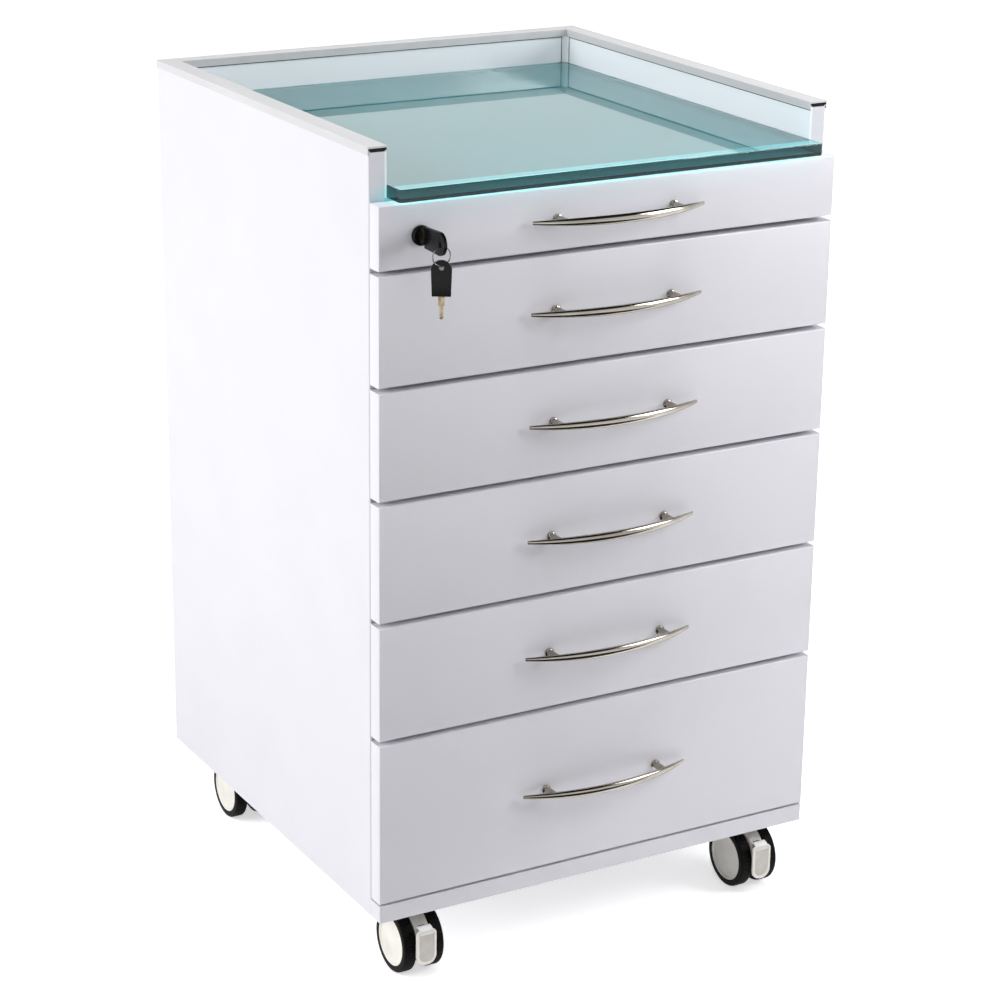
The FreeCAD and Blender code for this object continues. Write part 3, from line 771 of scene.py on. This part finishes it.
def addKeyBlade():
    # blade along -X: wide shoulder, step, narrow tip with bites, and a milled groove
    s = keySet
    blade = blockBetween((-s["shoulder"], -s["shoulderHalf"], -s["bladeThick"] / 2),
                         (s["inBow"], s["shoulderHalf"], s["bladeThick"] / 2))
    pickFaces(blade, lambda c, n: n.x < -facing)
    extrude(-s["stepLong"], 0, 0)
    resize(1, s["tipHalf"] / s["shoulderHalf"], 1, (0, 0, 0))
    tipLength = s["bladeLength"] - s["shoulder"] - s["stepLong"] - s["noseLong"]
    # each bite narrows the tip and lets it widen again, with one edge kept straight
    for share in (s["biteShare"], 1 / s["biteShare"]) * s["bites"]:
        extrude(-tipLength / (2 * s["bites"]), 0, 0)
        resize(1, share, 1, (0, -s["tipHalf"], 0))
    extrude(-s["noseLong"], 0, 0)
    resize(1, *s["noseShare"], (0, 0, 0))
    setMode("OBJECT")
    pickFaces(blade, lambda c, n: abs(n.z) > facing and c.x > -s["shoulder"])
    inset(s["grooveBorder"])
    resize(1, 1, s["grooveShare"], (0, 0, 0))
    setMode("OBJECT")
    soften(blade, s["bladeRound"])
    return blade


def addRing(place, radius):
    # ring of thin wire through the keys' holes
    s = ringSet
    bpy.ops.object.select_all(action="DESELECT")
    bpy.ops.mesh.primitive_torus_add(location=place, rotation=(math.pi / 2, 0, 0),
                                     major_radius=radius - s["wire"] / 2, minor_radius=s["wire"] / 2,
                                     major_segments=s["around"], minor_segments=s["across"])
    ring = settle(bpy.context.object)

    def onRim(point):
        return math.hypot(point.x - place[0], point.z - place[2]) > radius - close

    # a fine line round the rim stands for the gap between the two turns of the wire
    bevelEdges(ring, lambda a, b: onRim(a) and onRim(b), s["lineWide"], 2)
    finishPiece(ring, "splitRing", "key_ring", wire, 60)
    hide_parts("key_ring")


def addKeys():
    # the key in the lock stands on edge, the spare key hangs from the ring below it
    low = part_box("lock_key")[0]
    lock = middleOf("lock_key")
    footY = low[1] + keySet["bowLength"]
    holeY = low[1] + keySet["holeFromEnd"]
    inLock = (Matrix.Translation((lock.x, footY, lock.z)) @ Matrix.Rotation(-math.pi / 2, 4, "Z")
              @ Matrix.Rotation(math.pi / 2, 4, "X"))
    ringLow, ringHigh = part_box("key_ring")
    share = ringSet["spareShare"]
    spareZ = ringLow[2] + ringSet["wire"] + ringSet["hangGap"] - keySet["holeRadius"] * share
    hanging = (Matrix.Translation((lock.x, holeY, spareZ))
               @ Matrix.Rotation(math.radians(ringSet["spareTwist"]), 4, "Z")
               @ Matrix.Rotation(-math.pi / 2, 4, "Y")
               @ Matrix.Scale(share, 4)
               @ Matrix.Translation((keySet["holeFromEnd"] - keySet["bowLength"], 0, 0)))
    bow = addKeyBow()
    blade = addKeyBlade()
    for name, body, matrix in (("lockKey", "lock_key", inLock), ("spareKey", "key_ring", hanging)):
        grip = copyAt(bow, matrix)
        finishPiece(grip, name + "Bow", body, blackPlastic, 35)
        shank = copyAt(blade, matrix)
        finishPiece(shank, name + "Blade", body, brass, 30)
        if name == "lockKey":
            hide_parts("lock_key")
    bpy.data.objects.remove(bow)
    bpy.data.objects.remove(blade)
    addRing((lock.x, holeY, (ringLow[2] + ringHigh[2]) / 2), (ringHigh[2] - ringLow[2]) / 2)


addKeys()
print("keys and ring made")


# Casters

casterSet = {
    "wheelRadius": 32.5 * mm,
    "wheelWidth": 13.5 * mm,
    "near": 8.5 * mm,
    "sides": 96,
    "shoulder": 2.4 * mm,
    "ribBorder": 0.35 * mm,
    "ribShare": 0.988,
    "hubFace": 12 * mm,
    "hubRadius": 3.1 * mm,
    "hubDepth": 9 * mm,
    "capPocket": 3.4 * mm,
    "capGap": 0.3 * mm,
    "capRadius": 25.5 * mm,
    "capThick": 3 * mm,
    "capSides": 72,
    "capRim": 2.2 * mm,
    "capRound": 0.7 * mm,
    "capDish": 1.2 * mm,
    "dishShare": 0.97,
    "bossFrom": 12.5 * mm,
    "bossSlope": 1 * mm,
    "bossRise": 0.5 * mm,
}
casterPlaces = {}
for corner in ("front_left", "front_right", "back_left", "back_right"):
    casterPlaces[corner] = (middleOf(f"wheel_{corner}_inner") + middleOf(f"wheel_{corner}_outer")) / 2


def addTyre(centre, side):
    # rubber tread: a wheel blank with rounded shoulders, thin ribs and an open middle
    s = casterSet
    inner = centre + Vector((side * s["near"], 0, 0))
    outer = centre + Vector((side * (s["near"] + s["wheelWidth"]), 0, 0))
    step = 2 * math.pi / s["sides"]

    def onSunkRib(c, n):
        out = c - centre
        count = round((math.atan2(out.z, out.y) - step / 2) / step)
        return abs(n.x) < 0.05 and out.yz.length > s["wheelRadius"] - close and count % 2 == 0

    piece = roundBar(s["wheelRadius"], inner, outer, s["sides"])
    bevelEdges(piece, lambda a, b: abs(a.x - b.x) < close, s["shoulder"], 4)
    # fine ribs across the tread: every other flank sinks a little
    pickFaces(piece, onSunkRib)
    bpy.ops.mesh.inset(thickness=s["ribBorder"], use_individual=True)
    resize(1, s["ribShare"], s["ribShare"], centre)
    setMode("OBJECT")
    # outside: a lip, then a pocket for the cap; inside: a hub face with the axle's bore
    flat = s["wheelRadius"] - s["shoulder"]
    pickFaces(piece, lambda c, n: abs(c.x - outer.x) < close)
    inset(flat - s["capRadius"] - s["capGap"])
    extrude(-side * s["capPocket"], 0, 0)
    setMode("OBJECT")
    pickFaces(piece, lambda c, n: abs(c.x - inner.x) < close)
    inset(flat - s["hubFace"])
    inset(s["hubFace"] - s["hubRadius"])
    extrude(side * s["hubDepth"], 0, 0)
    setMode("OBJECT")
    return piece


def addWheelCap(centre, side):
    # moulded cap: raised rim, shallow dish, small boss
    s = casterSet
    faceX = centre.x + side * (s["near"] + s["wheelWidth"])
    face = Vector((faceX, centre.y, centre.z))
    piece = roundBar(s["capRadius"], face - Vector((side * s["capThick"], 0, 0)), face, s["capSides"])
    pickFaces(piece, lambda c, n: n.x * side > facing)
    inset(s["capRim"])
    extrude(-side * s["capDish"], 0, 0)
    resize(1, s["dishShare"], s["dishShare"], face)
    inset(s["bossFrom"])
    inset(s["bossSlope"])
    bpy.ops.transform.translate(value=(side * s["bossRise"], 0, 0))
    bevelEdges(piece, lambda a, b: max(abs(a.x - faceX), abs(b.x - faceX)) < close, s["capRound"], 3)
    return piece


def addWheels():
    # one tyre and one cap are modelled, then copied to every wheel of that hand
    first = casterPlaces["front_left"]
    for side in (-1, 1):
        tyre = addTyre(first, side)
        cap = addWheelCap(first, side)
        for corner, place in casterPlaces.items():
            outerSide = -1 if "left" in corner else 1
            end = "outer" if outerSide == side else "inner"
            body = f"wheel_{corner}_{end}"
            tread = copyOf(tyre, place - first)
            finishPiece(tread, f"tyre_{corner}_{end}", body, rubber, 40)
            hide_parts(body)
            disc = copyOf(cap, place - first)
            finishPiece(disc, f"wheelCap_{corner}_{end}", body, ivory, 40)
        bpy.data.objects.remove(tyre)
        bpy.data.objects.remove(cap)


addWheels()
print("wheels made")


# Caster housings

housingSet = {
    "half": 8 * mm,
    "hoodRadius": 33.5 * mm,
    "hoodSides": 120,
    "hoodFrom": 35,
    "hoodTo": 190,
    "rimRound": 1.8 * mm,
    "hubRadius": 9 * mm,
    "hubShare": 0.98,
    "trail": 28 * mm,
    "neckInset": 0.3 * mm,
    "neckReach": 13 * mm,
    "headHalf": 15 * mm,
    "headTall": 5 * mm,
    "headCorner": 8 * mm,
    "headRound": 0.6 * mm,
    "kingPinBore": 5.1 * mm,
    "axleRadius": 3 * mm,
    "pivotOut": 22 * mm,
    "pivotUp": 17.5 * mm,
    "pinRadius": 1.5 * mm,
    "pinShare": 0.9,
    "slotHalf": 3.8 * mm,
    "slotRoom": 4.7 * mm,
    "slotRise": 1.4 * mm,
}


def keepAbove(piece, point, normal):
    # cuts the piece by a plane, closes it, and keeps what lies on the normal's side
    only(piece)
    setMode("EDIT")
    bpy.ops.mesh.select_all(action="SELECT")
    bpy.ops.mesh.bisect(plane_co=point, plane_no=normal, use_fill=True, clear_inner=True)
    setMode("OBJECT")


def addHousing(braked):
    # moulded hood over the gap between the wheels, on a slanted neck under the swivel head
    s = housingSet
    low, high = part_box("caster_housing_front_left")
    axle = casterPlaces["front_left"]
    across = Vector((s["half"], 0, 0))
    headTop, headUnder = high[2], high[2] - s["headTall"]
    swivelY = axle.y + s["trail"]

    def onHoodRim(point):
        return math.hypot(point.y - axle.y, point.z - axle.z) > s["hoodRadius"] - close

    hood = roundBar(s["hoodRadius"], axle - across, axle + across, s["hoodSides"])
    start, stop = math.radians(s["hoodFrom"]), math.radians(s["hoodTo"])
    keepAbove(hood, axle, (0, -math.sin(start), math.cos(start)))
    keepAbove(hood, axle, (0, math.sin(stop), -math.cos(stop)))
    bevelEdges(hood, lambda a, b: abs(a.x - b.x) < close and onHoodRim(a) and onHoodRim(b),
               s["rimRound"], 4)
    hubReach = across * s["hubShare"]
    combine(hood, roundBar(s["hubRadius"], axle - hubReach, axle + hubReach, 48), "UNION")
    neckHalf = s["half"] - s["neckInset"]
    neck = blockBetween((axle.x - neckHalf, axle.y - s["hubRadius"], axle.z),
                        (axle.x + neckHalf, axle.y + s["hubRadius"], headUnder + mm))
    pickFaces(neck, lambda c, n: n.z > facing)
    bpy.ops.transform.translate(value=(0, s["trail"], 0))
    resize(1, s["neckReach"] / s["hubRadius"], 1, (axle.x, swivelY, headUnder + mm))
    setMode("OBJECT")
    combine(hood, neck, "UNION")
    head = blockBetween((axle.x - s["headHalf"], swivelY - s["headHalf"], headUnder),
                        (axle.x + s["headHalf"], swivelY + s["headHalf"], headTop))
    bevelEdges(head, lambda a, b: abs(a.z - b.z) > mm, s["headCorner"], 1)
    soften(head, s["headRound"])
    combine(hood, head, "UNION")
    combine(hood, roundBar(s["kingPinBore"], (axle.x, swivelY, headUnder),
                           (axle.x, swivelY, headTop + mm), 36), "DIFFERENCE")
    axleReach = Vector(((high[0] - low[0]) / 2, 0, 0))
    combine(hood, roundBar(s["axleRadius"], axle - axleReach, axle + axleReach, 28), "UNION")
    if braked:
        pivot = axle + Vector((0, -s["pivotOut"], s["pivotUp"]))
        room = s["slotRoom"]
        slot = blockBetween((axle.x - s["slotHalf"], axle.y - s["hoodRadius"] - mm, pivot.z - room),
                            (axle.x + s["slotHalf"], pivot.y + room, pivot.z + room + s["slotRise"]))
        combine(hood, slot, "DIFFERENCE")
        pinReach = across * s["pinShare"]
        combine(hood, roundBar(s["pinRadius"], pivot - pinReach, pivot + pinReach, 20), "UNION")
    return hood


def addHousings():
    first = casterPlaces["front_left"]
    for end in ("front", "back"):
        # only the front two casters have a brake
        model = addHousing(end == "front")
        for corner in (end + "_left", end + "_right"):
            piece = copyOf(model, casterPlaces[corner] - first)
            finishPiece(piece, f"casterHousing_{corner}", f"caster_{corner}", greyPlastic,
                        35)
            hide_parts(f"caster_housing_{corner}")
        bpy.data.objects.remove(model)


addHousings()
print("caster housings made")


# Brake pedals

pedalSet = {
    "width": 22 * mm,
    "length": 38 * mm,
    "thick": 2.4 * mm,
    "wheelGap": 1.3 * mm,
    "rise": 1.8 * mm,
    "toeRound": 10 * mm,
    "heelRound": 4.5 * mm,
    "rimRound": 0.5 * mm,
    "panelBorder": 2.4 * mm,
    "panelSlope": 0.7 * mm,
    "panelDepth": 0.8 * mm,
    "neckHalf": 7.4 * mm,
    "neckUnder": 5 * mm,
    "neckSteps": ((0.9, 0.9), (1.9, 0.9), (2.2, 0.5), (2.0, 0.1)),
    "neckTurn": 20,
    "neckRound": 0.8 * mm,
    "lugHalf": 3.5 * mm,
    "eyeRadius": 3.7 * mm,
    "boreRadius": 1.62 * mm,
    "boreHalf": 9 * mm,
    "armDrop": 4 * mm,
    "armRound": 0.4 * mm,
}


def addToe(centreX, back, top):
    # the plate for the foot: rounded corners, a border round a sunk panel
    s = pedalSet
    front = back - s["thick"]
    middle = top - s["length"] / 2
    toe = blockBetween((centreX - s["width"] / 2, front, top - s["length"]),
                       (centreX + s["width"] / 2, back, top))
    bevelEdges(toe, lambda a, b: abs(a.y - b.y) > mm and a.z < middle, s["toeRound"], 9)
    bevelEdges(toe, lambda a, b: abs(a.y - b.y) > mm and a.z > middle, s["heelRound"], 5)
    pickFaces(toe, lambda c, n: n.y < -facing)
    inset(s["panelBorder"])
    inset(s["panelSlope"])
    bpy.ops.transform.translate(value=(0, s["panelDepth"], 0))
    bevelEdges(toe, lambda a, b: max(a.y, b.y) < front + close, s["rimRound"], 2)
    # the sunk panel is the greyer plastic of the housing
    toe.data.materials.append(ivory)
    toe.data.materials.append(greyPlastic)
    for face in toe.data.polygons:
        sunk = face.normal.y < -facing and face.center.y > front + mm / 2
        face.material_index = 1 if sunk else 0
    return toe


def addToeNeck(centreX, back, top):
    # a wide neck bends back from the toe over the slot in the hood
    s = pedalSet
    front = back - s["thick"]
    neck = blockBetween((centreX - s["neckHalf"], front, top - s["neckUnder"]),
                        (centreX + s["neckHalf"], back, top - mm))
    pickFaces(neck, lambda c, n: n.z > facing)
    at = Vector((centreX, (front + back) / 2, top - mm))
    for inward, up in s["neckSteps"]:
        step = Vector((0, inward * mm, up * mm))
        at += step
        extrude(*step)
        bpy.ops.transform.rotate(value=math.radians(s["neckTurn"]), orient_axis="X", center_override=at)
    setMode("OBJECT")
    soften(neck, s["neckRound"], 3, 40)
    return neck


def addPedals():
    s = pedalSet
    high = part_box("brake_pedal_front_left")[1]
    centreX = middleOf("brake_pedal_front_left").x
    top = high[2] + s["rise"]
    axle = casterPlaces["front_left"]
    back = axle.y - casterSet["wheelRadius"] - s["wheelGap"]
    pivot = Vector((centreX, axle.y - housingSet["pivotOut"], axle.z + housingSet["pivotUp"]))
    lugReach = Vector((s["lugHalf"], 0, 0))
    boreReach = Vector((s["boreHalf"], 0, 0))
    lug = roundBar(s["eyeRadius"], pivot - lugReach, pivot + lugReach)
    arm = blockBetween((centreX - s["lugHalf"], back - mm, pivot.z - s["eyeRadius"]),
                       (centreX + s["lugHalf"], pivot.y, top - s["armDrop"]))
    soften(arm, s["armRound"])
    combine(lug, arm, "UNION")
    combine(lug, roundBar(s["boreRadius"], pivot - boreReach, pivot + boreReach, 20), "DIFFERENCE")
    first = joinPieces([addToe(centreX, back, top), addToeNeck(centreX, back, top), lug])
    for corner in ("front_left", "front_right"):
        piece = copyOf(first, casterPlaces[corner] - axle)
        finishPiece(piece, f"brakePedal_{corner}", f"brake_{corner}", None, 35)
        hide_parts(f"brake_pedal_{corner}")
    bpy.data.objects.remove(first)


addPedals()
print("brake pedals made")


# Gallery dark lines: painted shadow under the cap lips, dark joints at the coves

shadeAndJointSet = {
    "tall": 0.8 * mm,
    "proud": 0.45 * mm,
    "line": (0.05 * mm, 0.7 * mm),
    "rounding": 0.15 * mm,
    "liningThick": 2 * mm,
    "coveLeg": 6 * mm,
    "capGrip": 2.4 * mm,
    "underCap": 0.15 * mm,
    "aboveGlass": 0.1 * mm,
    "fromFront": 0.3 * mm,
}


def addShadeAndJointLines():
    # dark strips under the caps' inner lips are painted shadow of the lips; the thin lines beside the
    # two corner coves are dark joints
    s = shadeAndJointSet
    low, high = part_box("gallery_lining")
    left, right = low[0] + s["liningThick"], high[0] - s["liningThick"]
    back = high[1] - s["liningThick"]
    coveY = back - s["coveLeg"]
    top = high[2] - s["capGrip"] - s["underCap"]
    under = top - s["tall"]
    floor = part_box("glass_worktop")[1][2] + s["aboveGlass"]
    bars = []
    for x, turn in ((left, 1), (right, -1)):
        ends = sorted((x, x + turn * s["proud"]))
        bars.append(((ends[0], low[1] + s["fromFront"], under), (ends[1], coveY, top)))
        bars.append(((ends[0], coveY - s["line"][1], floor), (ends[1], coveY - s["line"][0], under)))
        side = sorted(x + turn * (s["coveLeg"] + away) for away in s["line"])
        bars.append(((side[0], back - s["proud"], floor), (side[1], back, under)))
    bars.append(((left + s["coveLeg"], back - s["proud"], under), (right - s["coveLeg"], back, top)))
    pieces = [blockBetween(start, end) for start, end in bars]
    for bar in pieces:
        soften(bar, s["rounding"])
    finishPiece(joinPieces(pieces), "galleryShadeAndJointLines", "cabinet", shadeAndJointDark, 40)


addShadeAndJointLines()
print("gallery gaskets made")


# Black fill in the open front ends of the two side caps: painted shade standing in for the dark hollow
# of each channel

capEndShadeSet = {
    "lip": 0.85 * mm,
    "wide": 18.1 * mm,
    "web": 1.65 * mm,
    "tall": 2.3 * mm,
    "footIn": 1.7 * mm,
    "footTall": 1.1 * mm,
    "footOverlap": 0.4 * mm,
    "sunk": 0.25 * mm,
    "long": 12 * mm,
    "rounding": 0.9 * mm,
}


def addCapEndShade():
    # each fill takes the shape of the channel's hollow and is black: painted shade inside the cap end
    s = capEndShadeSet
    low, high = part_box("gallery_caps")
    top = high[2] - s["web"]
    under = top - s["tall"]
    near, far = low[1] + s["sunk"], low[1] + s["long"]
    endShadeFills = []
    for side in (-1, 1):
        outer = side * (high[0] - s["lip"])
        left, right = sorted((outer, outer - side * s["wide"]))
        plug = blockBetween((left, near, under), (right, far, top))
        bevelEdges(plug, lambda a, b: abs(a.y - b.y) > mm, s["rounding"], 4)
        foot = blockBetween((left + s["footIn"], near, under - s["footTall"]),
                            (right - s["footIn"], far, under + s["footOverlap"]))
        combine(plug, foot, "UNION")
        endShadeFills.append(plug)
    finishPiece(joinPieces(endShadeFills), "capEndShadeFill", "cabinet", blackPlastic, 40)


addCapEndShade()
print("cap plugs made")


# Screws and the lock's nut

screwSet = {
    "handleHead": 3.6 * mm,
    "handleTall": 2.0 * mm,
    "plateHead": 3 * mm,
    "plateTall": 1.2 * mm,
    "plateOut": 17 * mm,
    "plateThick": 2.5 * mm,
    "sides": 28,
    "crownShare": 0.55,
    "crossLong": 3.6 * mm,
    "crossWide": 0.9 * mm,
    "crossFloor": 0.4,
}
nutSet = {"radius": 10.9 * mm, "thick": 3 * mm, "rounding": 0.5 * mm, "bore": 8.02 * mm}


def addScrewHead(radius, tall):
    # pan head on the plane z = 0, crowned, with a cross recess
    s = screwSet
    head = roundBar(radius, (0, 0, 0), (0, 0, tall), s["sides"])
    bevelRims(head, lambda c, n: n.z > facing, tall * s["crownShare"], 4)
    long, wide = s["crossLong"] / 2, s["crossWide"] / 2
    for x, y in ((long, wide), (wide, long)):
        cut = blockBetween((-x, -y, tall * s["crossFloor"]), (x, y, tall * 2))
        combine(head, cut, "DIFFERENCE")
    return head


def addHandleScrews():
    pan = addScrewHead(screwSet["handleHead"], screwSet["handleTall"])
    turn = Matrix.Rotation(-math.pi / 2, 4, "X")
    postX = handleSet["postCentres"] / 2
    for number in drawerNumbers:
        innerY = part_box(f"drawer_{number}_front")[1][1]
        z = middleOf(f"drawer_{number}_handle").z
        pair = [copyAt(pan, Matrix.Translation((x, innerY, z)) @ turn) for x in (-postX, postX)]
        finishPiece(joinPieces(pair), f"handleScrews{number}", f"drawer_{number}", zinc, 35)
    bpy.data.objects.remove(pan)


def addCasterScrews():
    # four heads under each caster's plate
    pan = addScrewHead(screwSet["plateHead"], screwSet["plateTall"])
    turn = Matrix.Rotation(math.pi, 4, "X")
    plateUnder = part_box("caster_plates")[1][2] - screwSet["plateThick"]
    out = screwSet["plateOut"]
    heads = []
    for place in casterPlaces.values():
        for dx, dy in ((-out, -out), (-out, out), (out, -out), (out, out)):
            at = (place.x + dx, place.y + housingSet["trail"] + dy, plateUnder)
            heads.append(copyAt(pan, Matrix.Translation(at) @ turn))
    finishPiece(joinPieces(heads), "casterScrews", "cabinet", zinc, 35)
    bpy.data.objects.remove(pan)


def addLockNut():
    # hexagonal nut that holds the barrel against the back of the front
    s = nutSet
    lock = middleOf("lock_housing")
    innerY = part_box("drawer_1_front")[1][1]
    nut = roundBar(s["radius"], (lock.x, innerY, lock.z), (lock.x, innerY + s["thick"], lock.z), 6)
    bevelRims(nut, lambda c, n: abs(n.y) > facing, s["rounding"], 2)
    bore = roundBar(s["bore"], (lock.x, innerY - s["thick"], lock.z),
                    (lock.x, innerY + 2 * s["thick"], lock.z), 48)
    combine(nut, bore, "DIFFERENCE")
    finishPiece(nut, "lockNut", "drawer_1", zinc, 35)


addHandleScrews()
addCasterScrews()
addLockNut()
print("screws and nut made")


# Floor, lights and surroundings

stageSet = {
    "floorSize": 40,
    "floorColour": "#F2F2F3",
    "liftNear": 0.56,
    "liftFar": 0.86,
    "liftReach": (0.6, 2.4),
    "worldFill": 0.29,
    "overheadFrom": (0.4, 0.48),
    "overheadInReflections": 0.02,
    "reflectionCardSize": (3.0, 1.3),
    "reflectionCardHeight": 2 * mm,
    "reflectionCardFromCamera": 1.75,
}
# each lamp's place, what it is aimed at, its width and height, and its watts
lampSet = {
    "leftSoftbox": ((-3.2, 0.6, 1.9), (0, 0.1, 0.45), (2.2, 2.2), 102),
    "rightSoftbox": ((1.15, -1.05, 1.15), (0.2, -0.2, 0.5), (0.6, 0.8), 15),
    "backSoftbox": ((1.75, 3.0, 1.5), (0, 0.1, 0.8), (3.2, 1.4), 3.2),
    "topSoftbox": ((0.3, -0.5, 2.5), (0, 0.25, 0.8), (1.2, 0.6), 19),
}


def addStage():
    bpy.ops.object.select_all(action="DESELECT")
    bpy.ops.mesh.primitive_plane_add(size=stageSet["floorSize"], location=(0, 0, 0))
    floor = bpy.context.object
    floor.name = "floor"
    material = startMaterial("paleFloorPaint", stageSet["floorColour"], 0.9,
                             more={"Specular IOR Level": 0.0})
    tree, shader = insideOf(material)
    path = addNode(tree, "ShaderNodeLightPath")
    seen = addNode(tree, "ShaderNodeMath", {"operation": "MAXIMUM"}, links={
        0: straightRays(tree, path), 1: path.outputs["Is Glossy Ray"]})
    # the floor far from the cabinet gets less lamp light, so it is lifted more there
    away = addNode(tree, "ShaderNodeVectorMath", {"operation": "LENGTH"},
                   links={0: objectCoords(material)})
    near, far = stageSet["liftReach"]
    height = addNode(tree, "ShaderNodeMapRange", {"interpolation_type": "SMOOTHSTEP"},
                     {"From Min": near, "From Max": far, "To Min": stageSet["liftNear"],
                      "To Max": stageSet["liftFar"]}, {"Value": away.outputs["Value"]})
    lift = addNode(tree, "ShaderNodeMath", {"operation": "MULTIPLY"},
                   links={0: seen.outputs["Value"], 1: height.outputs["Result"]})
    glow = addNode(tree, "ShaderNodeEmission", values={"Color": (1, 1, 1, 1)},
                   links={"Strength": lift.outputs["Value"]})
    both = addNode(tree, "ShaderNodeAddShader",
                   links={0: shader.outputs["BSDF"], 1: glow.outputs["Emission"]})
    tree.links.new(both.outputs["Shader"], tree.nodes["Material Output"].inputs["Surface"])
    floor.data.materials.append(material)


def addDarkReflectionCard():
    # black card just above the floor in front of the view, seen only in reflections: polished metal
    # shows it as a painted dark reflection line
    bpy.ops.object.select_all(action="DESELECT")
    bpy.ops.mesh.primitive_plane_add(size=1)
    card = bpy.context.object
    card.name = "darkReflectionCard"
    card.scale = stageSet["reflectionCardSize"] + (1,)
    yaw = cameraSet["yaw"]
    reach = Vector((math.sin(yaw), math.cos(yaw), 0)) * stageSet["reflectionCardFromCamera"]
    card.location = Vector(cameraSet["place"][:2] + (stageSet["reflectionCardHeight"],)) + reach
    card.rotation_euler = (0, 0, -yaw)
    material = startMaterial("reflectionCardBlack", "#0A0A0A", 0.9)
    surfaceGrain(material, 1.5, 0.2)
    card.data.materials.append(material)
    card.visible_camera = False
    card.visible_diffuse = False
    card.visible_shadow = False
    card.visible_transmission = False


def addWorld():
    # white where it is seen straight or through glass, dimmer overhead in reflections
    world = bpy.data.worlds.new("studio")
    bpy.context.scene.world = world
    world.use_nodes = True
    tree = world.node_tree
    back = tree.nodes["Background"]
    path = addNode(tree, "ShaderNodeLightPath")
    where = addNode(tree, "ShaderNodeTexCoord")
    parts = addNode(tree, "ShaderNodeSeparateXYZ", links={"Vector": where.outputs["Object"]})
    low, high = stageSet["overheadFrom"]
    height = addNode(tree, "ShaderNodeMapRange", {"interpolation_type": "SMOOTHSTEP"},
                     {"From Min": low, "From Max": high, "To Min": 1.0,
                      "To Max": stageSet["overheadInReflections"]}, {"Value": parts.outputs["Z"]})
    mirrored = addNode(tree, "ShaderNodeMix", {"data_type": "FLOAT"}, {2: stageSet["worldFill"]}, {
        0: path.outputs["Is Glossy Ray"], 3: height.outputs["Result"]})
    level = addNode(tree, "ShaderNodeMix", {"data_type": "FLOAT"}, {3: 1.0}, {
        0: straightRays(tree, path), 2: mirrored.outputs[0]})
    back.inputs["Color"].default_value = (1, 1, 1, 1)
    tree.links.new(level.outputs[0], back.inputs["Strength"])


def addSoftbox(name, place, aim, size, watts):
    bpy.ops.object.select_all(action="DESELECT")
    bpy.ops.object.light_add(type="AREA", location=place)
    lamp = bpy.context.object
    lamp.name = name
    lamp.data.shape = "RECTANGLE"
    lamp.data.size, lamp.data.size_y = size
    lamp.data.energy = watts
    lamp.visible_camera = False
    lamp.rotation_euler = (Vector(aim) - Vector(place)).to_track_quat("-Z", "Y").to_euler()


addStage()
addDarkReflectionCard()
addWorld()
for name, lamp in lampSet.items():
    addSoftbox(name, *lamp)
bpy.data.objects["topSoftbox"].visible_glossy = False
bpy.context.scene.view_settings.view_transform = "Standard"
print("stage and lights set")
